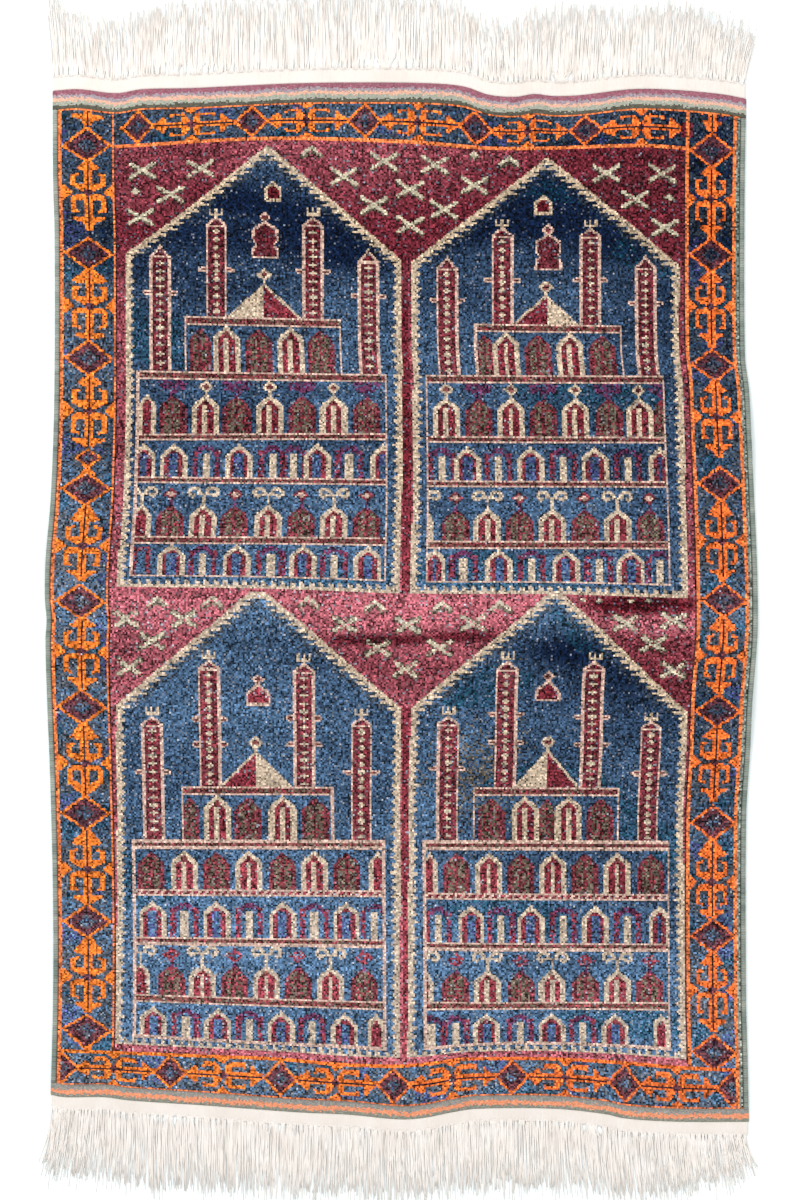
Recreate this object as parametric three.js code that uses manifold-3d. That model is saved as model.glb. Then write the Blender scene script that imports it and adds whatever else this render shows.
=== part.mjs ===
// A knotted wool rug lying open on the floor, seen from above with its length along Y.
// The rug is one sheet: a thick pile field that steps down to a thin flat-woven band at
// each end. Two overcast edge cords run along its sides, and at each end a strip of plain
// white weave carries the fringe.
// Units are millimetres, +Z is up, and the floor is at z = 0.

import * as THREE from "three";
import Module from "manifold-3d";

// Driving dimensions
const gap = 0.5; // nominal clearance between pieces: the facets of curved sides stay 0.3 apart
const pileThickness = 8; // knots and foundation together
const bandThickness = 3; // flat-woven striped ends
const topBandLength = 25; // striped end, from the pile to the white strip
const bottomBandLength = 17;
const pileShoulder = 4; // length over which the pile rises from the band
const cordWidth = 8.5; // overcast edge cord
const cordHeight = 6.5;
const stripThickness = 2.4; // plain white weave that holds the fringe
const topStripLength = 19;
const bottomStripLength = 16.5;

const columnCount = 26; // steps across the rug
const rowCount = 38; // steps along its length

// Outline of the cloth, without the fringe: across is X, along is Y
const topEdge = [
  { across: -438, along: 641 },
  { across: -406, along: 643 },
  { across: -358, along: 638 },
  { across: -325, along: 643 },
  { across: -262, along: 644.5 },
  { across: -130, along: 650.5 },
  { across: -18, along: 651.5 },
  { across: 48, along: 650 },
  { across: 82, along: 646 },
  { across: 112, along: 636 },
  { across: 145, along: 633.5 },
  { across: 169, along: 637 },
  { across: 193, along: 634.5 },
  { across: 226, along: 635.5 },
  { across: 291, along: 643 },
  { across: 340, along: 642.5 },
  { across: 403, along: 637 },
  { across: 436, along: 631 },
];
const bottomEdge = [
  { across: -440, along: -623 },
  { across: -422, along: -626 },
  { across: -373, along: -626 },
  { across: -342, along: -630 },
  { across: -244, along: -636.5 },
  { across: -130, along: -645 },
  { across: -66, along: -648 },
  { across: 0, along: -654 },
  { across: 32, along: -651.5 },
  { across: 64, along: -645 },
  { across: 96, along: -640.5 },
  { across: 193, along: -640.5 },
  { across: 258, along: -647.5 },
  { across: 277, along: -652 },
  { across: 307, along: -655 },
  { across: 355, along: -657 },
  { across: 437, along: -657 },
];
const leftEdge = [
  { along: -623, across: -440 },
  { along: -504, across: -437 },
  { along: -378, across: -437 },
  { along: -227, across: -440.5 },
  { along: -126, across: -444.5 },
  { along: -50, across: -446.5 },
  { along: -25, across: -445 },
  { along: 0, across: -447 },
  { along: 50, across: -446 },
  { along: 126, across: -440 },
  { along: 252, across: -435.5 },
  { along: 454, across: -435 },
  { along: 530, across: -437 },
  { along: 641, across: -437.5 },
];
const rightEdge = [
  { along: -657, across: 439.5 },
  { along: -580, across: 438 },
  { along: -504, across: 436 },
  { along: -277, across: 436 },
  { along: -189, across: 441 },
  { along: -126, across: 443.5 },
  { along: -50, across: 450 },
  { along: 13, across: 450.5 },
  { along: 88, across: 448 },
  { along: 208, across: 442 },
  { along: 265, across: 439.5 },
  { along: 309, across: 434.5 },
  { along: 504, across: 434 },
  { along: 631, across: 436 },
];

// Soft ridges left by the middle fold and by the slack of the weave. Each lies along a
// line through its centre, turned by its angle from X, and fades out at reach and spread.
const ridges = [
  { x: -215, y: -12, angle: 1, reach: 300, spread: 42, height: 4.5 }, // middle fold, left
  { x: 205, y: -22, angle: -3, reach: 300, spread: 42, height: 5 }, // middle fold, right
  { x: 30, y: -38, angle: 4, reach: 190, spread: 36, height: 4 }, // middle fold, centre
  { x: 128, y: 500, angle: 84, reach: 120, spread: 58, height: 3.5 }, // slack at the top
  { x: 120, y: -505, angle: 95, reach: 120, spread: 62, height: 3.5 }, // slack at the bottom
  { x: 428, y: 190, angle: 60, reach: 130, spread: 50, height: 5 }, // right edge, above
  { x: 432, y: -118, angle: 118, reach: 120, spread: 48, height: 5 }, // right edge, below
  { x: -428, y: 66, angle: 68, reach: 110, spread: 46, height: 4 }, // left edge
];

// The strands of each end, from left to right: their length, and how far a tip leans in X
const topStrands = [
  { across: -440, length: 72, lean: -16 },
  { across: -400, length: 56, lean: -8 },
  { across: -350, length: 58, lean: -3 },
  { across: -300, length: 80, lean: 5 },
  { across: -120, length: 86, lean: -4 },
  { across: 20, length: 88, lean: 4 },
  { across: 85, length: 72, lean: -3 },
  { across: 112, length: 62, lean: -5 },
  { across: 170, length: 80, lean: 4 },
  { across: 235, length: 88, lean: 7 },
  { across: 275, length: 70, lean: 4 },
  { across: 350, length: 82, lean: 8 },
  { across: 400, length: 68, lean: 10 },
  { across: 440, length: 52, lean: 18 },
];
const bottomStrands = [
  { across: -440, length: 80, lean: -12 },
  { across: -380, length: 82, lean: -7 },
  { across: -300, length: 88, lean: 2 },
  { across: -100, length: 80, lean: -2 },
  { across: 0, length: 78, lean: 3 },
  { across: 150, length: 82, lean: -3 },
  { across: 280, length: 74, lean: 5 },
  { across: 380, length: 70, lean: 5 },
  { across: 440, length: 60, lean: 12 },
];
const strandCount = 116; // at each end
const strandUneven = 6; // most that a strand is longer or shorter than its neighbours
const strandWidth = 4.6; // across its flat base
const strandHeight = 2.2;
const strandRoot = 2; // how far a strand runs into the strip
const strandInset = 4; // first and last strand from the strip's corners
const strandBend = 1.1; // most that a strand bows to one side

// Colours of the plain solids
const pileColour = 0x4a2b3a;
const cordColour = 0x8c9c94;
const cottonColour = 0xece4d8;

const wasm = await Module();
wasm.setup();

// Smooth value read from a table: a cubic through the rows, level with their own slopes
function readTable(rows, at, key, value) {
  const last = rows.length - 1;
  if (at <= rows[0][key]) {
    return rows[0][value];
  }
  if (at >= rows[last][key]) {
    return rows[last][value];
  }
  const i = rows.findIndex((row) => row[key] > at) - 1;
  const slope = (j) => {
    const a = rows[Math.max(j - 1, 0)];
    const b = rows[Math.min(j + 1, last)];
    return (b[value] - a[value]) / (b[key] - a[key]);
  };
  const width = rows[i + 1][key] - rows[i][key];
  const t = (at - rows[i][key]) / width;
  const fromHere = 2 * t ** 3 - 3 * t ** 2 + 1;
  const hereSlope = (t ** 3 - 2 * t ** 2 + t) * width;
  const toNext = 3 * t ** 2 - 2 * t ** 3;
  const nextSlope = (t ** 3 - t ** 2) * width;
  return (
    fromHere * rows[i][value] + hereSlope * slope(i)
    + toNext * rows[i + 1][value] + nextSlope * slope(i + 1)
  );
}

const firstRow = (rows) => rows[0];
const lastRow = (rows) => rows[rows.length - 1];
const mix = (a, b, t) => a + (b - a) * t;

// Y of the cloth's end at a fraction u of the way across
function endAlong(rows, u) {
  const across = mix(firstRow(rows).across, lastRow(rows).across, u);
  return readTable(rows, across, "across", "along");
}

// X of the cloth's side at a fraction v of the way along
function sideAcross(rows, v) {
  const along = mix(firstRow(rows).along, lastRow(rows).along, v);
  return readTable(rows, along, "along", "across");
}

// Place on the floor of the point (u, v) of the sheet, u across and v along, each 0 to 1
function sheetPoint(u, v) {
  const x = mix(sideAcross(leftEdge, v), sideAcross(rightEdge, v), u);
  const y = mix(endAlong(bottomEdge, u), endAlong(topEdge, u), v);
  return { x, y };
}

// Hump that is 1 at t = 0 and reaches 0 smoothly at t = 1
function hump(t) {
  const s = Math.min(Math.abs(t), 1);
  return (1 - s * s) ** 2;
}

// Height by which the sheet is lifted off the floor: the highest of the ridges there
function lift(x, y) {
  let height = 0;
  for (const ridge of ridges) {
    const angle = THREE.MathUtils.degToRad(ridge.angle);
    const along = (x - ridge.x) * Math.cos(angle) + (y - ridge.y) * Math.sin(angle);
    const beside = (y - ridge.y) * Math.cos(angle) - (x - ridge.x) * Math.sin(angle);
    height = Math.max(height, ridge.height * hump(along / ridge.reach) * hump(beside / ridge.spread));
  }
  return height;
}

// Closed solid over the cells of a grid. Each grid point has x, y, its underside low and
// its upper side high. Cells that isPresent leaves out are open, and walls close the rim.
function gridSolid(points, isPresent) {
  const rows = points.length - 1;
  const columns = points[0].length - 1;
  const positions = [];
  const corner = (j, i, side) => {
    const p = points[j][i];
    return [p.x, p.y, side === "high" ? p.high : p.low];
  };
  const addQuad = (a, b, c, d) => {
    positions.push(...a, ...b, ...c, ...a, ...c, ...d);
  };
  const present = (j, i) => j >= 0 && i >= 0 && j < rows && i < columns && isPresent(j, i);
  const addWall = (j0, i0, j1, i1) => {
    addQuad(corner(j0, i0, "low"), corner(j1, i1, "low"), corner(j1, i1, "high"), corner(j0, i0, "high"));
  };
  for (let j = 0; j < rows; j += 1) {
    for (let i = 0; i < columns; i += 1) {
      if (!present(j, i)) {
        continue;
      }
      addQuad(
        corner(j, i, "high"), corner(j, i + 1, "high"), corner(j + 1, i + 1, "high"), corner(j + 1, i, "high"),
      );
      addQuad(
        corner(j, i, "low"), corner(j + 1, i, "low"), corner(j + 1, i + 1, "low"), corner(j, i + 1, "low"),
      );
      if (!present(j - 1, i)) {
        addWall(j, i, j, i + 1);
      }
      if (!present(j + 1, i)) {
        addWall(j + 1, i + 1, j + 1, i);
      }
      if (!present(j, i - 1)) {
        addWall(j + 1, i, j, i);
      }
      if (!present(j, i + 1)) {
        addWall(j, i + 1, j + 1, i + 1);
      }
    }
  }
  return geometryFrom(positions);
}

function geometryFrom(positions) {
  const geometry = new THREE.BufferGeometry();
  geometry.setAttribute("position", new THREE.Float32BufferAttribute(positions, 3));
  geometry.computeVertexNormals();
  return geometry;
}

// Equal places merged by value, as a solid that can be joined to others
function toSolid(positions) {
  const numbers = new Map();
  const vertices = [];
  const triangles = [];
  for (let k = 0; k < positions.length; k += 3) {
    const place = positions.slice(k, k + 3).map(Math.fround);
    const name = place.join(" ");
    if (!numbers.has(name)) {
      numbers.set(name, numbers.size);
      vertices.push(...place);
    }
    triangles.push(numbers.get(name));
  }
  return new wasm.Manifold(new wasm.Mesh({
    numProp: 3,
    vertProperties: new Float32Array(vertices),
    triVerts: new Uint32Array(triangles),
  }));
}

function fromSolid(solid) {
  const mesh = solid.getMesh();
  const positions = [];
  for (const k of mesh.triVerts) {
    positions.push(...mesh.vertProperties.slice(k * mesh.numProp, k * mesh.numProp + 3));
  }
  return geometryFrom(positions);
}

// Fraction across at which the pile meets an edge cord, and fractions along of the bands
const clothWidth = sideAcross(rightEdge, 0.5) - sideAcross(leftEdge, 0.5);
const clothLength = endAlong(topEdge, 0.5) - endAlong(bottomEdge, 0.5);
const cordShare = cordWidth / clothWidth;
const gapShare = gap / clothWidth;
const pileBottom = bottomBandLength / clothLength;
const pileTop = 1 - topBandLength / clothLength;
const shoulderShare = pileShoulder / clothLength;
const endGap = gap / clothLength;

// Stations across: the outer rim, the inner side of each cord and even steps between
function acrossStations() {
  const inner = cordShare + gapShare;
  const stations = [0, inner];
  for (let i = 1; i < columnCount; i += 1) {
    stations.push(mix(inner, 1 - inner, i / columnCount));
  }
  stations.push(1 - inner, 1);
  return stations;
}

// Stations along: band, shoulder, even steps over the pile, shoulder and band
function alongStations() {
  const stations = [0, pileBottom, pileBottom + shoulderShare];
  const first = pileBottom + shoulderShare;
  const last = pileTop - shoulderShare;
  for (let j = 1; j < rowCount; j += 1) {
    stations.push(mix(first, last, j / rowCount));
  }
  stations.push(last, pileTop, 1);
  return stations;
}

// The rug: pile and both striped ends in one sheet. The ends reach the full width, and
// beside the pile the outermost column is left open for the edge cords.
function makeRug() {
  const across = acrossStations();
  const along = alongStations();
  const points = along.map((v, j) => across.map((u) => {
    const { x, y } = sheetPoint(u, v);
    const low = lift(x, y);
    const isPile = j >= 2 && j <= along.length - 3;
    return { x, y, low, high: low + (isPile ? pileThickness : bandThickness) };
  }));
  const lastColumn = across.length - 2;
  const lastBand = along.length - 2;
  return gridSolid(points, (j, i) => j === 0 || j === lastBand || (i > 0 && i < lastColumn));
}

// An edge cord: a rounded section with a flat foot, carried along the side of the pile.
// side is -1 for the left and 1 for the right.
function makeCord(side) {
  const edge = side < 0 ? leftEdge : rightEdge;
  const stations = alongStations().slice(1, -1);
  stations[0] += endGap;
  stations[stations.length - 1] -= endGap;
  const section = [
    { out: 0, up: 0 },
    { out: 1, up: 0 },
    { out: 1, up: 0.62 },
    { out: 0.72, up: 1 },
    { out: 0.28, up: 1 },
    { out: 0, up: 0.62 },
  ];
  const u = side < 0 ? 0 : 1;
  const rings = stations.map((v) => {
    const rim = sideAcross(edge, v);
    const inner = sheetPoint(side < 0 ? cordShare : 1 - cordShare, v).x;
    const y = sheetPoint(u, v).y;
    return section.map((point) => {
      const x = mix(inner, rim, point.out);
      const low = lift(x, y);
      return [x, y, low + point.up * cordHeight];
    });
  });
  return geometryFrom(loft(rings, side > 0));
}

// Rings of points joined side by side and closed at both ends. A ring may shrink to one
// place, which makes a point. turned says that the rings run clockwise seen from the end.
function loft(rings, turned) {
  const positions = [];
  const same = (a, b) => a.every((value, n) => value === b[n]);
  const addTriangle = (a, b, c) => {
    if (!same(a, b) && !same(b, c) && !same(a, c)) {
      positions.push(...a, ...(turned ? b : c), ...(turned ? c : b));
    }
  };
  const size = rings[0].length;
  for (let j = 0; j + 1 < rings.length; j += 1) {
    for (let k = 0; k < size; k += 1) {
      const next = (k + 1) % size;
      addTriangle(rings[j][k], rings[j + 1][k], rings[j + 1][next]);
      addTriangle(rings[j][k], rings[j + 1][next], rings[j][next]);
    }
  }
  const end = lastRow(rings);
  for (let k = 1; k + 1 < size; k += 1) {
    addTriangle(rings[0][0], rings[0][k], rings[0][k + 1]);
    addTriangle(end[0], end[k + 1], end[k]);
  }
  return positions;
}

// Even but irregular number from -1 to 1 for the strand k, different for each use
function waver(k, use) {
  const s = Math.sin(k * 12.9898 + use * 78.233) * 43758.5453;
  return 2 * (s - Math.floor(s)) - 1;
}

// One strand lying on the floor, from its root in the strip to its pointed tip: a
// three-sided section with a flat base that bends a little to each side.
function strandPositions(k, root, side, length, lean) {
  const steps = [
    { part: 0, width: 1 },
    { part: 0.35, width: 1 },
    { part: 0.7, width: 0.9 },
    { part: 0.94, width: 0.65 },
    { part: 1, width: 0 },
  ];
  const bend = strandBend * waver(k, 1);
  const rings = steps.map(({ part, width }) => {
    const x = root.x + lean * part ** 1.4 + bend * Math.sin(part * Math.PI * 1.6);
    const y = root.y + side * (part * length - strandRoot);
    const half = 0.5 * strandWidth * width;
    return [[x - half, y, 0], [x + half, y, 0], [x, y, strandHeight * width]];
  });
  return loft(rings, side > 0);
}

// A fringe: the strip of white weave with its row of strands. side is 1 at the top and
// -1 at the bottom of the rug.
function makeFringe(side) {
  const edge = side > 0 ? topEdge : bottomEdge;
  const stripLength = side > 0 ? topStripLength : bottomStripLength;
  const strands = side > 0 ? topStrands : bottomStrands;
  const across = acrossStations();
  const v = side > 0 ? 1 : 0;
  const stripRow = (offset) => across.map((u) => {
    const { x, y } = sheetPoint(u, v);
    return { x, y: y + side * offset, low: 0, high: stripThickness };
  });
  const rows = [stripRow(gap), stripRow(stripLength)];
  const strip = gridSolid(side > 0 ? rows : rows.reverse(), () => true);
  let solid = toSolid(Array.from(strip.attributes.position.array));
  const firstX = firstRow(edge).across + strandInset;
  const lastX = lastRow(edge).across - strandInset;
  for (let k = 0; k < strandCount; k += 1) {
    const x = mix(firstX, lastX, k / (strandCount - 1));
    const y = readTable(edge, x, "across", "along") + side * stripLength;
    const length = readTable(strands, x, "across", "length") + strandUneven * waver(k, 2);
    const lean = readTable(strands, x, "across", "lean");
    const strand = toSolid(strandPositions(k, { x, y }, side, length, lean));
    solid = solid.add(strand);
  }
  return fromSolid(solid);
}

function makePiece(name, geometry, colour, roughness) {
  const material = new THREE.MeshStandardMaterial({ color: colour, roughness, metalness: 0 });
  const mesh = new THREE.Mesh(geometry, material);
  mesh.name = name;
  return mesh;
}

const rug = new THREE.Group();
rug.add(makePiece("rug", makeRug(), pileColour, 0.95));
rug.add(makePiece("selvedge_left", makeCord(-1), cordColour, 0.95));
rug.add(makePiece("selvedge_right", makeCord(1), cordColour, 0.95));
rug.add(makePiece("fringe_top", makeFringe(1), cottonColour, 0.9));
rug.add(makePiece("fringe_bottom", makeFringe(-1), cottonColour, 0.9));

// The middle of the whole rug, fringes included, goes to the origin
const box = new THREE.Box3().setFromObject(rug);
const centre = box.getCenter(new THREE.Vector3());
rug.position.set(-centre.x, -centre.y, 0);

export default rug;
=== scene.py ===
import bpy
import numpy as np
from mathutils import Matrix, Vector


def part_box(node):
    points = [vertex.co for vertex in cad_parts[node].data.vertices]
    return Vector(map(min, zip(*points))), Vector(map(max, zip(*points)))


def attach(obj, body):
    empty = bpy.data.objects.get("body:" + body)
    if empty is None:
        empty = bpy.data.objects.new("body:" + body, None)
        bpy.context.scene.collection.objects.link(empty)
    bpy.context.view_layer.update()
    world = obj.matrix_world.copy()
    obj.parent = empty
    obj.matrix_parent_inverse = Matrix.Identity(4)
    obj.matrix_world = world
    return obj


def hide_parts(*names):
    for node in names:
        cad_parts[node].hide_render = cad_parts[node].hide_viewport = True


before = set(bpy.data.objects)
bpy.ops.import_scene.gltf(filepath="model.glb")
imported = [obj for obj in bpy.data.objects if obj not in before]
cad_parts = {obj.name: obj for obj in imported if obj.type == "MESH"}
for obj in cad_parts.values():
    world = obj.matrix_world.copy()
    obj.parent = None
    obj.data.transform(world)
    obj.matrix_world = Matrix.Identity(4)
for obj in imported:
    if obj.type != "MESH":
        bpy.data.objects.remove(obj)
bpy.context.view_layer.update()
print("rug: frame loaded")

# A knotted wool rug that lies open on the floor. Lengths are millimetres until a mesh is made.
# The pile has one face for each knot, and its pattern is a chart with one yarn for each knot.
cloth = {
    "knotsAcross": 404,
    "knotsAlong": 592,
    "pileHeight": 8.0,      # knots and foundation together
    "bandHeight": 3.0,      # flat-woven striped ends
    "topBand": 25.0,        # striped end, from the pile to the white strip
    "bottomBand": 17.0,
    "shoulder": 4.0,        # length over which the pile rises from a band
    "sideRoom": 7.8,        # edge cord and the groove beside it
    "steps": 3,             # strips that the pile is made in
    "seed": 11,
}
rng = np.random.default_rng(cloth["seed"])

# outline of the cloth: its ends give the length for a place across, its sides the other way
topEdge = [
    (-438, 641), (-406, 643), (-358, 638), (-325, 643), (-262, 644.5), (-130, 650.5), (-18, 651.5),
    (48, 650), (82, 646), (112, 636), (145, 633.5), (169, 637), (193, 634.5), (226, 635.5), (291, 643),
    (340, 642.5), (403, 637), (436, 631),
]
bottomEdge = [
    (-440, -623), (-422, -626), (-373, -626), (-342, -630), (-244, -636.5), (-130, -645), (-66, -648),
    (0, -654), (32, -651.5), (64, -645), (96, -640.5), (193, -640.5), (258, -647.5), (277, -652),
    (307, -655), (355, -657), (437, -657),
]
leftEdge = [
    (-623, -440), (-504, -437), (-378, -437), (-227, -440.5), (-126, -444.5), (-50, -446.5), (-25, -445),
    (0, -447), (50, -446), (126, -440), (252, -435.5), (454, -435), (530, -437), (641, -437.5),
]
rightEdge = [
    (-657, 439.5), (-580, 438), (-504, 436), (-277, 436), (-189, 441), (-126, 443.5), (-50, 450),
    (13, 450.5), (88, 448), (208, 442), (265, 439.5), (309, 434.5), (504, 434), (631, 436),
]
# soft ridges of the cloth: centre, angle from X, reach along it, spread beside it, height
ridges = [
    (-215, -12, 1, 300, 42, 4.5), (205, -22, -3, 300, 42, 5), (30, -38, 4, 190, 36, 4),
    (128, 500, 84, 120, 58, 3.5), (120, -505, 95, 120, 62, 3.5), (428, 190, 60, 130, 50, 5),
    (432, -118, 118, 120, 48, 5), (-428, 66, 68, 110, 46, 4),
]


# Cubic through a table's rows: each piece blends two rows' values and the slopes through them
def readTable(rows, at):
    keys, values = np.array(rows, float).T
    at = np.clip(at, keys[0], keys[-1])
    i = np.clip(np.searchsorted(keys, at, side="right") - 1, 0, len(keys) - 2)
    before = np.maximum(np.arange(len(keys)) - 1, 0)
    after = np.minimum(np.arange(len(keys)) + 1, len(keys) - 1)
    slope = (values[after] - values[before]) / (keys[after] - keys[before])
    wide = keys[i + 1] - keys[i]
    t = (at - keys[i]) / wide
    here = (2 * t**3 - 3 * t**2 + 1) * values[i] + (t**3 - 2 * t**2 + t) * wide * slope[i]
    there = (3 * t**2 - 2 * t**3) * values[i + 1] + (t**3 - t**2) * wide * slope[i + 1]
    return here + there


# Place of (u, v): its side-to-side share of the width there, and its share of the length there
def sheetPoint(u, v):
    left = readTable(leftEdge, leftEdge[0][0] + v * (leftEdge[-1][0] - leftEdge[0][0]))
    right = readTable(rightEdge, rightEdge[0][0] + v * (rightEdge[-1][0] - rightEdge[0][0]))
    low = readTable(bottomEdge, bottomEdge[0][0] + u * (bottomEdge[-1][0] - bottomEdge[0][0]))
    high = readTable(topEdge, topEdge[0][0] + u * (topEdge[-1][0] - topEdge[0][0]))
    return left + (right - left) * u, low + (high - low) * v


# Height of the cloth over the floor: the highest ridge, each a product of two humps (1 - t^2)^2
def lift(x, y):
    height = np.zeros(np.broadcast(x, y).shape)
    for middleX, middleY, angle, reach, spread, top in ridges:
        turn = np.radians(angle)
        along = (x - middleX) * np.cos(turn) + (y - middleY) * np.sin(turn)
        beside = (y - middleY) * np.cos(turn) - (x - middleX) * np.sin(turn)
        humps = (1 - np.minimum(np.abs(along / reach), 1) ** 2) ** 2
        humps = humps * (1 - np.minimum(np.abs(beside / spread), 1) ** 2) ** 2
        height = np.maximum(height, top * humps)
    return height


# Smooth step from 0 to 1
def ease(t):
    t = np.clip(t, 0, 1)
    return t * t * (3 - 2 * t)


clothWidth = float(sheetPoint(1.0, 0.5)[0] - sheetPoint(0.0, 0.5)[0])
clothLength = float(sheetPoint(0.5, 1.0)[1] - sheetPoint(0.5, 0.0)[1])
pileLeft = cloth["sideRoom"] / clothWidth
pileRight = 1 - pileLeft
pileBottom = cloth["bottomBand"] / clothLength
pileTop = 1 - cloth["topBand"] / clothLength

# the frame's origin is the middle of the whole rug, so the outline moves by the same amount
rimU, rimV = np.meshgrid(np.linspace(0, 1, 29), np.linspace(0, 1, 43))
rimX, rimY = sheetPoint(rimU, rimV)
rugLow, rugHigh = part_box("rug")
shiftX = 500 * (rugLow.x + rugHigh.x) - 0.5 * float(rimX.min() + rimX.max())
shiftY = 500 * (rugLow.y + rugHigh.y) - 0.5 * float(rimY.min() + rimY.max())


# Pattern chart. Places are in steps of 1.26 mm from the upper left corner of the picture, X to
# the right and Y down. Wefts rise and sag across a real rug, and its warps follow its sides. So
# each place has a row and a column of the cloth: the row is the place's height on an even rug,
# and the column its distance from the left side on one 702 steps wide, plus 50.
chartStep = 1.26
pictureMiddle = (400, 600)
columnStart, columnSpan = 50, 702

# heights of some wefts: the row, and then places along it
wefts = [
    (145, [(50, 149), (116, 148), (260, 140), (400, 143), (500, 150), (640, 147), (690, 150), (745, 152)]),
    (260, [(50, 251), (126, 254), (402, 261), (412, 262.5), (679, 266.5), (745, 268)]),
    (321, [(50, 312), (185, 315.8), (341, 319.5), (474, 323.5), (621, 325.5), (745, 328)]),
    (373, [(50, 367.5), (134, 370.5), (387, 374.5), (425, 375), (668, 376), (745, 377)]),
    (435, [(50, 433), (134, 434), (387, 433.5), (425, 436), (668, 437), (745, 438)]),
    (478, [(50, 475), (134, 476), (387, 478.7), (425, 480), (668, 481), (745, 482)]),
    (539, [(50, 535), (134, 536.3), (387, 538.2), (425, 541), (668, 541.5), (745, 543)]),
    (594, [(50, 585), (118, 587), (250, 588.5), (330, 591), (400, 593.7), (550, 594.5), (687, 598.5),
           (745, 600)]),
    (708, [(50, 703), (116, 705), (402, 708), (687, 712), (745, 713)]),
    (787, [(50, 785), (182, 785.5), (620, 787), (745, 788)]),
    (840, [(50, 838.5), (133, 839.5), (669, 841), (745, 842)]),
    (891, [(50, 888), (133, 888.5), (385, 890), (423, 892), (669, 893.5), (745, 894)]),
    (939, [(50, 934), (133, 935.5), (385, 938.5), (423, 941), (669, 942.5), (745, 943)]),
    (998, [(50, 989), (133, 993), (385, 1001), (423, 1001), (669, 1001.5), (745, 1003)]),
    (1042, [(50, 1028), (133, 1033.5), (240, 1040), (345, 1044.6), (385, 1047), (420, 1047), (470, 1043),
            (520, 1041), (620, 1044), (669, 1047), (745, 1052)]),
    (1059, [(50, 1049), (110, 1051), (190, 1054), (280, 1057.6), (340, 1063), (395, 1064.5), (430, 1062),
            (460, 1057.6), (520, 1056.8), (560, 1057.5), (620, 1061), (680, 1066), (745, 1069)]),
]
topRow, bottomRow = 109.5, 1098.0
weftRows = np.array([topRow] + [row for row, _ in wefts] + [bottomRow])


# Left and right side of the cloth at a height, in chart steps
def sidesAt(height):
    along = (pictureMiddle[1] - height) * chartStep
    left = readTable(leftEdge, along) / chartStep + pictureMiddle[0]
    right = readTable(rightEdge, along) / chartStep + pictureMiddle[0]
    return left, right


# Share v of the cloth's length for knots at the shares u of its width and at the rows: heights
# are read along the known wefts and blended between the nearest two of them
def knotShare(u, rows):
    ends = [sheetPoint(u, np.full(u.shape, end))[1] for end in (pileTop, pileBottom)]
    known = [pictureMiddle[1] - ends[0] / chartStep]
    for row, heights in wefts:
        left, right = sidesAt(row)
        known.append(readTable(heights, left + (right - left) * u))
    known = np.array(known + [pictureMiddle[1] - ends[1] / chartStep])
    i = np.clip(np.searchsorted(weftRows, rows, side="right") - 1, 0, len(weftRows) - 2)
    t = ((rows - weftRows[i]) / (weftRows[i + 1] - weftRows[i]))[:, None]
    along = (pictureMiddle[1] - known[i] * (1 - t) - known[i + 1] * t) * chartStep
    low, high = (sheetPoint(u, np.full(u.shape, end))[1] for end in (0.0, 1.0))
    return (along - low) / (high - low)


# Column and row of the cloth at a place
def columnOf(x, y):
    left, right = sidesAt(y)
    return float(columnStart + columnSpan * (x - left) / (right - left))


def rowOf(x, y):
    heights = [readTable(table, x) for _, table in wefts]
    beyond = min(y - heights[0], 0) + max(y - heights[-1], 0)
    return float(np.interp(y, heights, weftRows[1:-1]) + beyond)


# the yarns, each as a deep and a light colour; a tone of dye change, painted sheen and painted shade picks
# between them
yarns = {
    "navy": ("0a1830", "506c8a"),
    "ink": ("28313b", "545860"),
    "madder": ("60212b", "ae606a"),
    "cream": ("b5a087", "bdab99"),
    "blush": ("bc9c8c", "c2a598"),
    "orange": ("e06a2c", "df6c34"),
    "amber": ("df7428", "df7630"),
    "line": ("de7640", "df7846"),
    "brown": ("43242a", "54302e"),
    "black": ("2a2026", "3c2a30"),
    "aubergine": ("38232e", "4c343e"),
    "olive": ("50483d", "6a6054"),
    "violet": ("2c2c54", "4c5084"),
    "wine": ("52141d", "8c3c46"),
    "umber": ("52262c", "6e3a40"),
    "plum": ("471f3c", "663452"),
    "bone": ("b8ae96", "bab09c"),
    "teal": ("0c2c3c", "2a5268"),
    "rust": ("5a2a2b", "744641"),
    "edge": ("6c7770", "8c9086"),
    "ash": ("565a66", "8c8e96"),
}
yarnNames = list(yarns)
acrossShare = (np.arange(cloth["knotsAcross"]) + 0.5) / cloth["knotsAcross"]
alongShare = (np.arange(cloth["knotsAlong"]) + 0.5) / cloth["knotsAlong"]
knotU = pileLeft + acrossShare * (pileRight - pileLeft)
knotRows = bottomRow + alongShare * (topRow - bottomRow)
knotV = knotShare(knotU, knotRows)
placeX, placeY = sheetPoint(np.broadcast_to(knotU, knotV.shape), knotV)
pictureX = placeX / chartStep + pictureMiddle[0]
pictureY = pictureMiddle[1] - placeY / chartStep
column, row = np.meshgrid(columnStart + columnSpan * knotU, knotRows)
fromLeft = column - columnStart
fromRight = columnStart + columnSpan - column
yarnChart = np.full(column.shape, yarnNames.index("madder"))
openKnots = np.ones(column.shape, bool)
fleck = rng.random(column.shape)


# Gives the knots under a mask a yarn, or only a scattered share of them, as one number or a chart
def paint(mask, yarn, share=1.0):
    yarnChart[mask & openKnots & (fleck < share)] = yarnNames.index(yarn)


# Distance of every knot from a place, across and down
def offset(place):
    return column - columnOf(*place), row - rowOf(*place)


# Sum of a few slanted sine waves, from about -1 to 1, for patches with soft edges
def patches(scale, kind, stretch=1.0):
    waves = np.random.default_rng(kind)
    total = 0
    for _ in range(7):
        angle = waves.uniform(0, 6.28)
        size = scale * waves.uniform(0.6, 1.7)
        along = pictureX * np.cos(angle) / stretch + pictureY * np.sin(angle)
        total = total + np.sin(along / size + waves.uniform(0, 6.28))
    return total / 3.2


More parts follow.
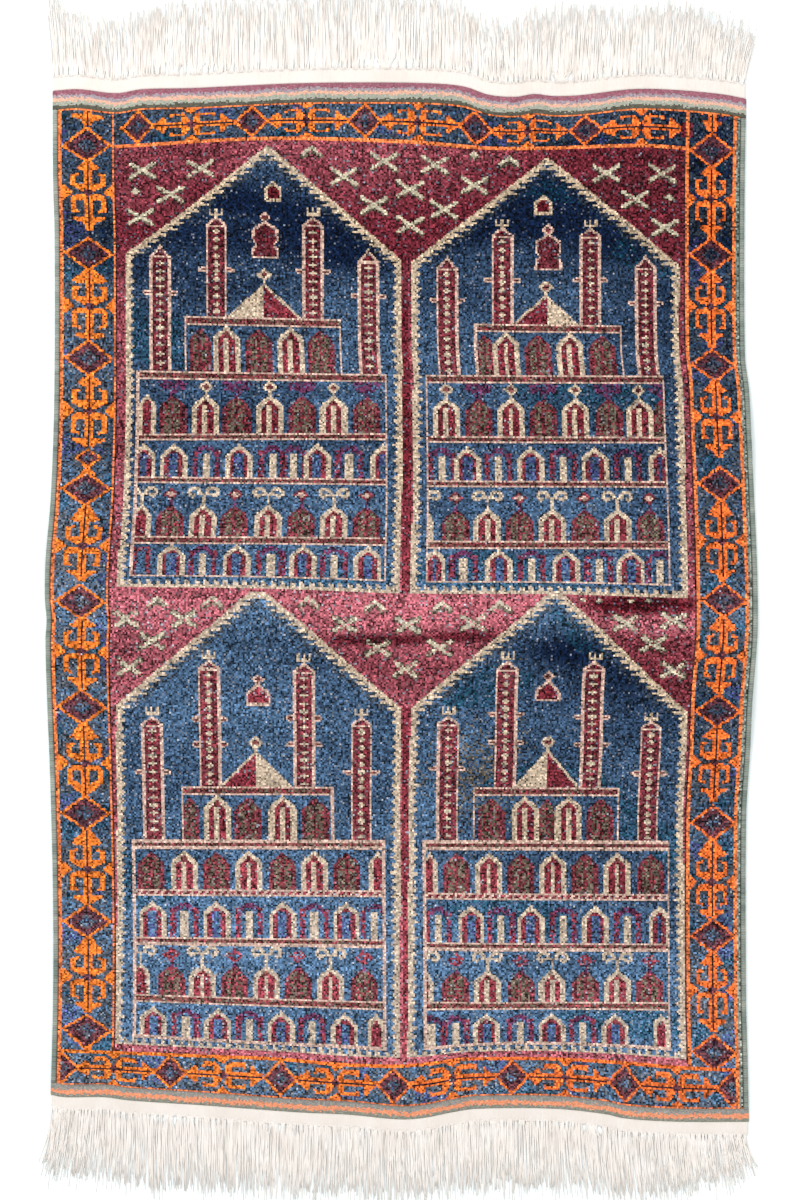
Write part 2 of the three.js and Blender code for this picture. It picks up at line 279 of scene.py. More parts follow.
def inside(x, y, left, top, right, bottom):
    return (x >= left) & (x < right) & (y >= top) & (y < bottom)


# Points nearer to a segment than half the stroke
def stroke(x, y, start, end, width):
    run = np.subtract(end, start)
    t = np.clip(((x - start[0]) * run[0] + (y - start[1]) * run[1]) / (run @ run), 0, 1)
    away = np.hypot(x - start[0] - t * run[0], y - start[1] - t * run[1])
    return away < width / 2


# Points within a half width that changes down the shape, given by a table
def spindle(x, y, depths, halves):
    return (np.abs(x) <= np.interp(y, depths, halves)) & (y >= depths[0]) & (y < depths[-1])


def lozenge(x, y, halfX, halfY):
    return np.abs(x) / halfX + np.abs(y) / halfY <= 1


# One cross of the red ground: an olive shadow under two ivory strokes
def crossMark(x, y, lower):
    armX, armY, thick = (10.2, 6.3, 3.9) if lower else (12.3, 7.2, 3.5)
    drop, around = (0, 3.4) if lower else (1.5, 1.6)
    for side in (-1, 1):
        shadow = stroke(x, y - drop, (-armX, -armY * side), (armX, armY * side), thick + around)
        paint(shadow, "olive", 0.72)
    for side in (-1, 1):
        arm = stroke(x, y, (-armX, -armY * side), (armX, armY * side), thick)
        paint(arm, "bone", 0.86 if lower else 0.97)


# Chevron of the red ground: an olive shadow under two short ivory strokes
def chevronMark(x, y):
    for side in (-1, 1):
        paint(stroke(x, y - 2.2, (0, -3.2), (side * 8.5, 3.4), 6.6), "olive", 0.8)
    for side in (-1, 1):
        paint(stroke(x, y, (0, -3.2), (side * 8.7, 3.6), 3.5), "bone", 0.9)


def starMark(x, y):
    paint(lozenge(x, y - 1, 6.5, 5.5), "olive", 0.6)
    paint(lozenge(x, y, 4.4, 3.8), "bone")


# Flower over a roof: four ivory petals round a red middle
def flower(x, y, halfX=7.6, halfY=6.4, petals="cream"):
    paint(lozenge(x, y, halfX, halfY), petals)
    paint(lozenge(x, y, 3.9, 3.1), "rust")


archDepths = [0, 3.5, 7, 12, 200]
wholeArch, wholeSmallArch = 13.7, 13.6      # half widths of arches that aren't cut off by the frame


# Places of arches with their half widths: a place alone stands for a whole arch
def sized(places, whole):
    return [(place, whole) if np.isscalar(place) else place for place in places]


# Tall ivory arch: an ogee outline round two red windows and an ivory post
def creamArch(x, y, top, foot, halfWidth):
    share = halfWidth / wholeArch
    inFoot = (y < foot)
    outer = spindle(x, y - top, archDepths, np.array([1.2, 4.6, 9.8, 13.7, 13.7]) * share) & inFoot
    paint(outer, "cream")
    wall = 5.3 if halfWidth > 11 else 4.4
    reach = halfWidth - wall
    inner = spindle(x, y - top, [4.6, 8, 13, 200], [0.9, 3.6, reach, reach]) & inFoot
    paint(inner, "wine")
    paint(inner & (y < top + 10), "rust", 0.6)
    if halfWidth > 11:
        paint((np.abs(x + 0.5) < 2.4) & (y > top + 10.5) & inFoot, "cream")


# Dark arch: a dark red ogee with two mottled olive windows
def darkArch(x, y, top, foot, halfWidth):
    share = halfWidth / wholeArch
    body = spindle(x, y - top, archDepths, np.array([1.5, 5.5, 9.8, 13.7, 13.7]) * share) & (y < foot)
    paint(body, "umber")
    paint(body, "wine", 0.36)
    windows = ((x > -9 * share) & (x < -1.6 * share)) | ((x > 1 * share) & (x < 8.2 * share))
    inner = spindle(x, y - top, [4, 9, 200], [3, 10, 10]) & (y < foot)
    paint(windows & inner & (fleck > 0.3), "olive")


# Small arch of the lower rows: ivory outline, red lining, blue or violet opening
def smallArch(x, y, top, foot, halfWidth):
    inFoot = (y < foot)
    tip = [0.9, 2.2, 8, halfWidth, halfWidth]
    paint(spindle(x, y - top, [-2, 0.5, 4.5, 10.5, 200], tip) & inFoot, "cream")
    reach = halfWidth - 4.5
    lining = spindle(x, y - top, [4.2, 11, 200], [1.2, reach, reach]) & inFoot
    paint(lining, "wine")
    paint(lining, "umber", 0.3)
    blue = (np.abs(x) < reach - 4.6) & (y > top + 8.5) & inFoot
    paint(blue, "navy")
    paint(blue, "violet", 0.3)


# Post in a broken red arch
def postArch(x, y, top, foot):
    arch = spindle(x, y - top, [0, 3, 8, 200], [4, 9, 14, 14]) & (y < foot)
    hollow = spindle(x, y - top, [5, 9.5, 200], [2, 8.6, 9]) & (y < foot)
    paint(arch & ~hollow, "plum", 0.8)
    posts = (np.abs(np.abs(x) - 11.4) < 2.6) & (y > top + 5) & (y < foot)
    paint(posts, "wine", 0.85)
    paint(posts, "plum", 0.3)
    paint((np.abs(x) < 3.7) & (y > top + 8) & (y < foot), "cream")


# Pair of curls over an arch, each a thick open ring with its end turned in
def curls(x, y, top):
    for side in (-1, 1):
        dx, dy = (x * side - 9), (y - top - 5.4)
        ring = np.abs(np.hypot(dx * 0.92, dy * 1.08) - 4.6) < 1.75
        paint(ring & ~((dx < 1) & (dy > 2.4)), "cream")
        paint(inside(dx, dy, -1.4, 0.6, 1.6, 4.6), "cream")
        paint(stroke(x * side, y - top, (0, 8), (4.4, 5.6), 2.4), "cream")
    paint(inside(x, y - top, -1.4, 7, 1.4, 18), "cream")


# Line of two ivory rows with red brown between them; a dotted one is broken up
def divider(x, y, left, right, top, height=8.6, dotted=False):
    span = (x >= left) & (x < right) & (y >= top) & (y < top + height)
    paint(span, "blush")
    middle = span & (y >= top + 2.1) & (y < top + height - 2.1)
    paint(middle, "rust")
    paint(middle, "olive", 0.24)
    paint(middle & (fleck > 0.8), "wine")
    if dotted:
        paint(middle, "wine")
        paint(middle & (np.mod(x + (y - top) * 0.9, 7.4) < 3.2), "blush")


# Minaret: ivory outline, red shaft with a column of stars, balconies, and a crown or a plain peak
def minaret(x, y, peak, foot, balconies, crowned):
    halfWidth = 10.9
    for height in balconies:
        paint((np.abs(x) < 18.2) & (np.abs(y - height) < 2.7 - 0.9 * (np.abs(x) > 15.5)), "blush")
        paint((np.abs(x) < 16) & (np.abs(y - height) < 0.9), "rust")
    if crowned:
        paint(inside(x, y, -6.9, peak + 5, 6.9, peak + 8), "cream")
        for tine in (-5.6, 0, 5.6):
            paint((np.abs(x - tine) < 1.3) & (y >= peak) & (y < peak + 6), "cream")
        paint((np.abs(x) > 2) & (np.abs(x) < 4.6) & (y >= peak - 1) & (y < peak + 5.2), "navy")
    roof = peak + 9.4 if crowned else peak + 2.8
    down = y - roof
    slope = [0, 4.5, 7, 900] if crowned else [0, 7.4, 9.6, 900]
    paint(inside(x, y, -1.3, roof - 3, 1.3, roof + 1), "cream")
    outer = spindle(x, down, slope, [1.6, 7.6, halfWidth, halfWidth]) & (y < foot)
    paint(outer, "blush")
    reach = halfWidth - 2.6
    inner = [slope[0] + 2.4, slope[1] + 1.4, slope[2] + 1, 900]
    body = spindle(x, down, inner, [0.8, 6, reach, reach]) & (y < foot)
    paint(body, "wine")
    paint(body, "umber", 0.5)
    lintel = slope[2] + 0.6
    paint(inside(x, down, -reach, lintel, reach, lintel + 1.9), "blush")
    beat = np.mod(down - lintel - 2.8, 8.05) - 4
    inShaft = (down > lintel + 3.4) & (y < foot - 2)
    paint((np.abs(x) < 3.6) & (np.abs(beat) < 0.95) & inShaft, "bone")
    paint((np.abs(x) < 1.4) & (np.abs(beat) < 2.7) & inShaft, "cream")


# Dome: a triangle half ivory and half red, with a flower on its point
def dome(x, y, apex, foot, halfWidth, creamSide):
    paint(spindle(x, y, [apex, foot], [1, halfWidth]), "cream")
    red = spindle(x, y, [apex + 3.4, foot], [0.5, halfWidth - 3.2]) & (x * creamSide < 0.8)
    paint(red, "wine")
    paint(inside(x, y, -1.3, apex - 5, 1.3, apex + 1), "cream")
    flower(x, y - apex + 8.5, 8.3, 6.6)


# Lamp, from its top down: a flower, a round lobe and a footed lobe, dark red in an ivory outline
def lamp(x, y):
    outer = spindle(x, y, [9, 11, 16.5, 26.5, 32.5, 34.5, 45], [2, 4.5, 13.4, 13.4, 9.8, 13.4, 14])
    inner = spindle(x, y, [12, 18, 26.5, 32.8, 36.2, 42.8], [1.5, 10.9, 11.2, 7.6, 11, 11.6])
    paint(outer, "blush")
    paint(inner, "umber")
    paint(inner, "wine", 0.45)
    flower(x, y - 5, 6.6, 6, "blush")


# Small lamp: one lobe on a flat foot, under a flower
def smallLamp(x, y):
    outer = spindle(x, y, [9, 11, 18.5, 21, 30], [1.6, 3.6, 11.8, 12.4, 12.6])
    inner = spindle(x, y, [13, 19.5, 27.6], [1, 9.4, 10.2])
    paint(outer, "blush")
    paint(inner, "wine")
    flower(x, y - 5, 6.4, 5.4, "blush")


# House: a small five-sided hut
def house(x, y):
    paint(spindle(x, y, [0, 2, 7, 19.8], [1, 2.6, 9.1, 9.1]), "cream")
    paint(spindle(x, y, [4.4, 8, 16.4], [1.4, 5.9, 5.9]), "wine")


# Rows of arches that a pair of niches shares, from the floor of its first tier downwards
upperRows = [
    ("tall", 396.4, 435, "flower"), ("divider", 435, 7.4, False), ("small", 447, 478, None),
    ("divider", 478, 7.4, False), ("tall", 506.5, 539, "curls"), ("divider", 539, 7.6, False),
    ("small", 549, 580, None),
]
lowerRows = [
    ("tall", 851.5, 891, None), ("divider", 891, 7.4, True), ("small", 904.5, 939, None),
    ("divider", 939, 8, False), ("tall", 966, 998, "cross"), ("divider", 998, 8.2, False),
    ("small", 1012, 1042, None),
]
# The niches: outline, towers (place across, top, balconies, crown), and arches in each row as
# ivory ones and the others
upperPair = {"rows": upperRows, "tiers": (321, 373, 580), "foot": 594, "flat": 0}
lowerPair = {"rows": lowerRows, "tiers": (787, 840, 1042), "foot": 1052, "flat": 8}
niches = [
    {
        **upperPair, "apex": (268, 146), "left": (126, 254), "right": (402, 261.5),
        "footLeft": (118, 587), "footRight": (399, 593), "frame": (135.5, 387.5),
        "towers": [(160.7, 244.5, (293,), False), (216.6, 208.8, (270.3,), True),
                   (313.3, 208.8, (272,), True), (368.4, 249, (297,), False)],
        "redPosts": (141.5, 549, 580), "house": (273, 182), "lamp": (265, 213),
        "dome": (264.6, 284, 36.5, -1), "tierOne": (185, 341.5),
        "tierDark": [(200.5, 11), 259, 320.5], "tierCream": [226.5, 291],
        "arches": [
            ([(147.5, 9), 206, 270, 333.5], [173, 237, 302, 367]),
            ([(144, 12), 174, 239, 317, (383, 13)], [206.5, 272.5, 294, 349]),
            ([(141, 10), 202.5, 267.5, 333.5], [170, 234.5, 300.5, 366]),
            ([171.5, 236.5, 302.5, 367.5], [202.5, 270.5, 334]),
        ],
    },
    {
        **upperPair, "apex": (547, 158), "left": (412, 262.5), "right": (679, 266.5),
        "footLeft": (410, 594), "footRight": (687, 598.5), "frame": (425.5, 667.5),
        "towers": [(447, 256, (301,), False), (502, 220, (281,), True),
                   (590, 220, (281,), True), (645, 255, (304,), False)],
        "house": (543, 196), "lamp": (548, 226), "dome": (545.5, 296, 33.5, 1), "tierOne": (474, 621),
        "tierDark": [(484, 9), 538, 601.5], "tierCream": [506, 569.5],
        "arches": [
            ([446, 511, 575, 638.5], [478, 543, 608, (661, 9)]),
            ([467, 530, 594, (659, 11)], [441, 497.5, 562, 627]),
            ([(424, 9), 487, 551.5, 617], [455, 519, 584, 649]),
            ([(434, 11), 498.5, 565, 630], [463, 531, 598, 659]),
        ],
    },
    {
        **lowerPair, "apex": (258, 592), "left": (116.5, 705), "right": (402, 708),
        "footLeft": (114.5, 1041), "footRight": (399.5, 1057), "frame": (134, 385.5),
        "towers": [(154, 707, (772,), True), (210, 650.5, (719, 744), True),
                   (304.5, 654, (718, 744), True), (362, 708, (772,), True)],
        "smallLamp": (259, 674), "dome": (256.5, 751, 35.5, 1), "tierOne": (182, 334),
        "tierDark": [(191, 9), 249, 315.5], "tierCream": [218, 283],
        "arches": [
            ([185, 249.5, 315, (378, 9)], [152, 217, 283, 347]),
            ([153, 217, 283, 346.5], [185, 249.5, 314.5, 374]),
            ([(141, 10), 203, 267, 331], [172, 234.5, 298.5, 364]),
            ([153.5, 218, 281, 344.5, (376, 9)], [186, 249, 312]),
        ],
    },
    {
        **lowerPair, "apex": (555, 594.5), "left": (411, 708), "right": (687, 712),
        "footLeft": (407, 1057), "footRight": (686, 1061), "frame": (423.5, 669),
        "towers": [(448, 707, (768,), True), (506, 652, (714, 742), True),
                   (592, 652, (717, 744), True), (649, 712, (773,), True)],
        "smallLamp": (549, 671), "dome": (548, 750, 33, -1), "tierOne": (473, 620),
        "tierDark": [491, (547, 9), 600], "tierCream": [525, 568.5],
        "arches": [
            ([(430, 8), 489, 553, 617], [457, 521, 585, 650]),
            ([471, 530.5, 595, (659, 11)], [438, 501, 563, 627]),
            ([(424, 9), 487, 552, 617], [456, 520.5, 585, 649]),
            ([486, 551, 614.5, (661, 9)], [431, 455, 519, 582]),
        ],
    },
]


# lengths of one finger under a slope, one point up a side and one tooth along the foot
edging = {"finger": 6.25, "point": 7.9, "tooth": 9.4}


# Blue ground of a niche under a pointed roof, with a toothed ivory outline
def nicheGround(niche):
    apex, flat = columnOf(*niche["apex"]), niche["flat"]
    apexRow = rowOf(*niche["apex"])
    leftRow, rightRow = rowOf(*niche["left"]), rowOf(*niche["right"])
    shoulders = columnOf(*niche["left"]), columnOf(*niche["right"])
    feet = columnOf(*niche["footLeft"]), columnOf(*niche["footRight"])
    foot = niche["foot"]
    roof = np.interp(column, [shoulders[0], apex - flat, apex + flat + 0.1, shoulders[1]],
                     [leftRow, apexRow, apexRow, rightRow])
    left = np.interp(row, [leftRow, foot], [shoulders[0], feet[0]])
    right = np.interp(row, [rightRow, foot], [shoulders[1], feet[1]])
    body = (column >= left) & (column < right) & (row >= roof) & (row < foot)
    paint(body, "navy")
    paint(body & (patches(26, 5, 2.5) > 0.7), "teal", 0.45)
    # fingers under the slopes, short points up the sides, teeth along the foot
    slopeLeft = np.interp(row, [apexRow, leftRow], [apex - flat, shoulders[0]])
    slopeRight = np.interp(row, [apexRow, rightRow], [apex + flat, shoulders[1]])
    depth = np.minimum(column - slopeLeft, slopeRight - column)
    onSlope = body & (row < np.where(column < apex, leftRow, rightRow) + 3)
    beat = np.mod(row / edging["finger"], 1)
    finger = np.clip(1 - np.abs(beat - 0.42) / 0.46, 0, 1)
    paint(onSlope & (depth < 24), "ink", 0.4)
    paint(onSlope & ((depth < 5.6 + 12.2 * finger) | (row < roof + 3)), "cream")
    points = row / edging["point"]
    uneven = 0.5 + 0.5 * np.sin(np.floor(points) * 2.3)
    point = np.clip(1 - np.abs(np.mod(points, 1) - 0.45) / 0.42, 0, 1)
    nearSide = np.minimum(column - left, right - column)
    paint(body & ~onSlope & (nearSide < 5 + (3.2 + 2.2 * uneven) * point), "cream")
    beat = np.mod(column / edging["tooth"], 1)
    room = foot - niche["tiers"][2]
    tooth = room * np.where(beat < 0.24, 0.66, np.where(beat < 0.5, 0.54, 0.27))
    paint(body & (foot - row < tooth), "cream")


# Everything that stands in a niche
def nicheContents(niche):
    tierOne, tierTwo, floor = niche["tiers"]
    feet = (tierTwo, tierOne, tierOne, tierTwo)
    for (across, peak, balconies, crowned), foot in zip(niche["towers"], feet):
        heights = [rowOf(across, height) for height in balconies]
        x = column - columnOf(across, 0.5 * (peak + foot))
        minaret(x, row, rowOf(across, peak), foot, heights, crowned)
    for label, shape in (("house", house), ("lamp", lamp), ("smallLamp", smallLamp)):
        if label in niche:
            shape(*offset(niche[label]))
    across, apex, halfWidth, creamSide = niche["dome"]
    dome(column - columnOf(across, apex), row, rowOf(across, apex), tierOne, halfWidth, creamSide)
    left, right = (columnOf(edge, tierOne) for edge in niche["tierOne"])
    paint(inside(column, row, left, tierOne, right, tierTwo), "navy")
    openKnots[:] = inside(column, row, left, tierOne, right, tierTwo)
    for across, wide in sized(niche["tierDark"], wholeArch):
        darkArch(column - columnOf(across, tierOne + 30), row, tierOne + 12, tierTwo, wide)
    for across, wide in sized(niche["tierCream"], wholeArch):
        creamArch(column - columnOf(across, tierOne + 30), row, tierOne + 9.5, tierTwo, wide)
    divider(column, row, left, right, tierOne)
    for edge in (left, right - 2.3):
        paint(inside(column, row, edge, tierOne, edge + 2.3, tierTwo), "blush")
    left, right = (columnOf(edge, 0.5 * (tierTwo + floor)) for edge in niche["frame"])
    openKnots[:] = inside(column, row, left, tierTwo, right, floor + 2.4)
    spaces = iter(niche["arches"])
    for kind, top, foot, finial in [entry for entry in niche["rows"] if entry[0] != "divider"]:
        creams, others = next(spaces)
        middle = 0.5 * (top + foot)
        if kind == "small":
            for across in others:
                postArch(column - columnOf(across, middle), row, top, foot)
            for across, wide in sized(creams, wholeSmallArch):
                smallArch(column - columnOf(across, middle), row, top, foot, wide)
            continue
        for across, wide in sized(others, wholeArch):
            x = column - columnOf(across, middle)
            darkArch(x, row, top + 1.5, foot, wide)
            if finial == "flower":
                patch = spindle(x, row - top, [-14, -12.5, -5.5, -3, 2], [12, 14.5, 12, 4, 2])
                paint(patch, "plum", 0.7)
            if finial in ("curls", "cross"):
                paint(inside(x, row - top, -1.6, -5, 1.6, 3), "plum", 0.8)
            if finial == "curls":
                finialShape = lozenge(x, row - top + 10.5, 8, 6.5)
                paint(finialShape, "umber")
                paint(finialShape, "wine", 0.5)
                paint(lozenge(x, row - top + 10.5, 4.4, 3.4), "blush")
            if finial == "cross":
                paint(lozenge(x, row - top + 9, 9.5, 7.5), "wine", 0.7)
        for across, wide in sized(creams, wholeArch):
            x = column - columnOf(across, middle)
            creamArch(x, row, top, foot, wide)
            if finial == "flower" and wide > 10:
                flower(x, row - top + 8.2)
                paint(inside(x, row - top, -1, -3.4, 1, 2), "cream")
            if finial in ("curls", "cross"):
                curls(x, row, top - 18)
    if "redPosts" in niche:
        across, top, foot = niche["redPosts"]
        x = column - columnOf(across, top)
        posts = spindle(x, row, [top + 1, top + 8, foot], [7, 10, 10])
        paint(posts, "wine", 0.75)
        paint(posts & (np.abs(x) < 4) & (row > top + 6), "navy")
    for _, top, height, dotted in [entry for entry in niche["rows"] if entry[0] == "divider"]:
        divider(column, row, left, right, top, height, dotted)
    divider(column, row, left, right, tierTwo)
    paint(inside(column, row, left, floor, right, floor + 2.4), "blush")
    for edge in (left, right - 2.4):
        paint(inside(column, row, edge, tierTwo, edge + 2.4, floor + 2), "blush")
    openKnots[:] = True


repeatLength = 106


# One repeat of the border between two diamonds. t runs along it from 0 to 106, s is the distance
# from its middle line. Two hooks open towards each diamond, on both sides of a double stem;
# centre is where they meet, wing and barb are the half widths of the arrows at either end.
def borderRepeat(t, s, region, reach, centre=51, wing=13, barb=15, closed=False):
    off = np.abs(s)
    r = t - centre
    stem = (off < 4.6) & (t > 14) & (t < 92)
    leaf = spindle(off, t, [13, 17, centre - 26, centre - 23.5], [3, 4.5, wing, wing * 0.5])
    hook = (off > 12.6) & (off < 17.3) & (r > -19.5) & (r < -7)
    tip = (off > 10) & (off < 15) & (np.abs(r + 18.4 - 0.25 * off + 3.4) < 1.5)
    bowl = spindle(off, r, [-9.5, -6.5, -4.5, -1.5], [17.6, 17, 13, 6])
    hood = spindle(off, r, [1.5, 3, 5, 8], [8, 14, 17, 17.6])
    lower = (off > 12.6) & (off < 17.3) & (r > 7.5) & (r < 21.5)
    lowerTip = (off > 10) & (off < 15) & (np.abs(r - 20.2 + 0.25 * off - 3.4) < 1.5)
    arrow = spindle(off, t, [centre + 27, centre + 29.5, centre + 32.5, centre + 38], [barb, barb, 7, 3])
    if closed:
        arrow = spindle(off, r, [17, 24, 30], [17.6, 13, 5]) & ~spindle(off, r, [16, 21], [12, 5])
    hollow = (off > 4.6) & (off < 12.3) & (np.abs(r) > 6) & (np.abs(r) < 22)
    region = region & (t > 0) & (t < repeatLength)
    paint(region & hollow, "ink", 0.75)
    paint(region & (leaf | hook | bowl | hood | lower | arrow | stem), "orange")
    paint(region & (tip | lowerTip), "orange")
    tooth = 1 - np.abs(r) / 8
    paint(region & (off > reach - 9.5 * tooth) & (tooth > 0), "orange")
    paint(region & (off < 0.95) & (t > 14) & (t < 90), "black")
    middle = region & lozenge(s, r, 6.4, 4.9)
    paint(middle, "aubergine")
    paint(middle, "umber", 0.4)


# Big diamond of the border: orange outline, dark red band, blue middle
def borderDiamond(t, s, region, halfAlong, halfAcross, line=5.2):
    paint(region & lozenge(t, s, halfAlong, halfAcross), "orange")
    share = 1 - line / np.hypot(halfAlong, halfAcross)
    inner = region & lozenge(t, s, halfAlong * share, halfAcross * share)
    paint(inner, "aubergine")
    paint(inner, "umber", 0.5)
    paint(region & lozenge(t, s, halfAlong * 0.44, halfAcross * 0.42), "ink", 0.7)
    paint(region & lozenge(t, s, halfAlong * 0.3, halfAcross * 0.3), "navy", 0.4)


border = {
    # from each side of the rug: outer line, middle line of the border, inner line
    "leftSide": (9.8, 36.0, 60.2),
    "rightSide": (13.2, 35.0, 57.2),
    "line": 2.9,
    "innerTop": 144.5,         # rows of the inner lines of the top and bottom border
    "innerBottom": 1059,
    # diamonds by their height, and between two of them: where hooks meet, both arrows, closed hooks
    "left": [(41, 50, 13, 16.5), (147, 50, 12.5, 16.5), (254, 55, 19, 14.5), (358.5, 49, 13, 16),
             (489, 57, 14.5, 14), (601.7, 50, 13.5, 14), (707, 56, 14, 14, True), (812.5, 55.5, 15.5, 15),
             (920.6, 57, 15.5, 13), (1028.8, 52, 15, 14), (1134,)],
    "right": [(47, 50, 12, 11), (152, 49.5, 11.5, 12), (256, 51, 14, 13), (365.7, 52, 13, 14),
              (484, 56, 13, 13), (600.5, 54, 16.5, 13), (711, 52, 16, 14), (822.3, 57, 16.5, 13),
              (935, 53, 12.5, 15), (1052, 52, 13, 13), (1160,)],
    "top": [(138, 50, 12, 13), (252, 51.5, 12, 13), (364.8, 51, 13, 12), (475.8, 50, 12, 13),
            (585, 53, 12, 14), (697,)],
    "bottom": [(62, 51, 13, 13), (170, 51, 13, 13), (280, 52, 14, 14), (393.3, 52.5, 13, 13),
               (511.5, 50, 13, 14), (624, 51, 13, 13), (732,)],
    "smallDiamond": (85.5, 458),
}


# Borders: ground first, then the repeats of each side, and the guard lines over them
def paintBorders():
    line, innerTop, innerBottom = border["line"], border["innerTop"], border["innerBottom"]
    outerLeft, middleLeft, sideLeft = border["leftSide"]
    outerRight, middleRight, sideRight = border["rightSide"]
    low = row > innerBottom
    inLeft = (fromLeft < sideLeft) & ~low
    inRight = (fromRight < sideRight) & ~low
    inTop = (row < innerTop) & ~inLeft & ~inRight
    for region in (inLeft, inRight, inTop, low):
        paint(region, "ink")
        paint(region & (fleck > 0.78), "navy")
        paint(region & (patches(9, 37) > 0.7), "teal", 0.45)
        paint(region & (patches(9, 41) > 0.6), "violet", 0.35)
    sides = ((inLeft, fromLeft - middleLeft, sideLeft - middleLeft, 85, border["left"]),
             (inRight, fromRight - middleRight, sideRight - middleRight, 715, border["right"]))
    for region, s, reach, middleX, stops in sides:
        rows = [rowOf(middleX, stop[0]) for stop in stops]
        for start, end, stop in zip(rows[:-1], rows[1:], stops):
            t = (row - start) * repeatLength / min(end - start, 108)
            near = (row > start - 18) & (row < end)
            paint(near & region & (fleck > 0.45) & ((np.abs(t) < 27) | (t > 86)), "navy")
            borderRepeat(t, s * 24.2 / reach, region & (row < end), 24.7, *stop[1:])
        for place in rows:
            borderDiamond(row - place, s * 24.2 / reach + 1, region, 18.2, 26)
    smallX, smallY = border["smallDiamond"]
    place = rowOf(smallX, smallY)
    small = fromLeft - middleLeft
    paint(lozenge(row - place, small, 12, 20) & inLeft, "ink")
    for bar in (-1, 1):
        paint(stroke(small, row - place, (-5 * bar, 7), (7 * bar, 17), 3) & inLeft, "orange")
    borderDiamond(row - place, small, inLeft, 9.6, 14.5, 4.2)
    for region, nearRow, farRow, stops in ((inTop, topRow, innerTop, border["top"]),
                                           (low, innerBottom, bottomRow, border["bottom"])):
        middle, halfWidth = 0.5 * (nearRow + farRow), 0.5 * (farRow - nearRow) - 1
        s = (row - middle) * 24.5 / halfWidth
        places = [columnOf(stop[0], middle) for stop in stops]
        for start, end, stop in zip(places[:-1], places[1:], stops):
            near = region & (np.abs(column - start - 53) < 70) & (np.abs(column - start - 51) > 26)
            paint(near & (fleck > 0.45), "navy")
            t = (column - start) * repeatLength / (end - start)
            borderRepeat(t, s, region & (column < end), 24.5, *stop[1:])
        for place in places:
            borderDiamond(column - place, row - middle, region, 18, halfWidth, 4.8)
    paint(inside(column, row, columnOf(680, 128), 121, columnOf(692, 128), 134.5), "madder")
    paint(fromLeft < outerLeft, "line")
    paint(fromRight < outerRight, "line")
    paint(fromRight < outerRight - 3.6, "edge")
    paint(row < topRow + 2.2, "line")
    paint(row > bottomRow - 2.2, "line")
    for distance, side in ((fromLeft, sideLeft), (fromRight, sideRight)):
        paint((distance >= side) & (distance < side + line) & ~low, "line")
    between = (fromLeft >= sideLeft) & (fromRight >= sideRight)
    paint(between & (np.abs(row - innerTop) < 1.5), "line")
    paint((np.abs(row - innerBottom) < 1.9) & (fromLeft > 9) & (fromRight > 12), "orange")
    inner = (row > innerTop + 1.5) & (row < innerBottom - 2)
    for distance, side in ((fromLeft, sideLeft), (fromRight, sideRight)):
        paint((distance >= side + line) & (distance < side + line + 1.8) & inner, "brown")


# places of the crosses, chevrons, specks and stars of the red ground
redGround = {
    "upperCrosses": [(143, 171), (201, 169), (171, 195), (141, 217.5), (344, 177), (384, 162), (374, 206),
                     (410, 190), (435, 165.5), (474, 186), (444, 210), (410, 226), (606, 174), (662, 174),
                     (634.5, 200), (664.5, 228)],
    "lowerCrosses": [(127, 619), (185, 619), (152, 641), (130, 667), (345, 624.5), (408, 625), (378.5, 648),
                     (406, 669), (473, 623), (440, 648), (625, 623), (673, 621), (653, 644), (673, 670)],
    "chevrons": [(312, 151), (509, 162), (158, 601), (213, 601), (309, 601), (375, 605), (442, 606),
                 (500, 605)],
    "specks": [(583, 600), (599, 601), (630, 601), (648, 601)],
    "stars": [(136, 192), (474, 156), (669, 198)],
}


# The whole chart: red ground and its marks, the bars between the niches, niches and borders
def paintPattern():
    paint(patches(14, 3) > 0.3, "umber", 0.25)
    for label, lower in (("upperCrosses", False), ("lowerCrosses", True)):
        for place in redGround[label]:
            crossMark(*offset(place), lower)
    for place in redGround["chevrons"]:
        chevronMark(*offset(place))
    for place in redGround["stars"]:
        starMark(*offset(place))
    for place in redGround["specks"]:
        paint(lozenge(*offset(place), 4, 2.4), "bone")
    between = inside(column, row, columnOf(402, 400), 300, columnOf(411, 400), 594)
    paint(between | inside(column, row, columnOf(402, 860), 708, columnOf(410, 860), 1052), "wine")
    for niche in niches:
        nicheGround(niche)
        nicheContents(niche)
    paintBorders()


paintPattern()

pile = {
    "jitter": 0.28,        # how far a knot's corner strays in the plane
    "uneven": 0.38,        # and up or down
    "rimRound": 1.8,       # how much lower the pile is at its sides
    "rimWidth": 7.0,
    "strayShare": 0.045,   # grey knots among the dark ones
    # shares of knots that are paler or darker than the rest, and by how many spreads of the shade
    "pale": (0.1, 2.4),
    "dark": (0.12, 1.2),
    # old folds, pressed into the pile: ends in millimetres, half width and depth
    "folds": [
        ((-80, -48), (-12, -44), 9, 1.5), ((-12, -44), (120, -50), 9, 0.8),
        ((250, -2), (372, 0), 9, 1.3), ((-372, 14), (-250, 8), 12, 0.5),
        ((-40, 300), (60, 310), 14, 0.4), ((60, -260), (190, -250), 14, 0.4),
    ],
}
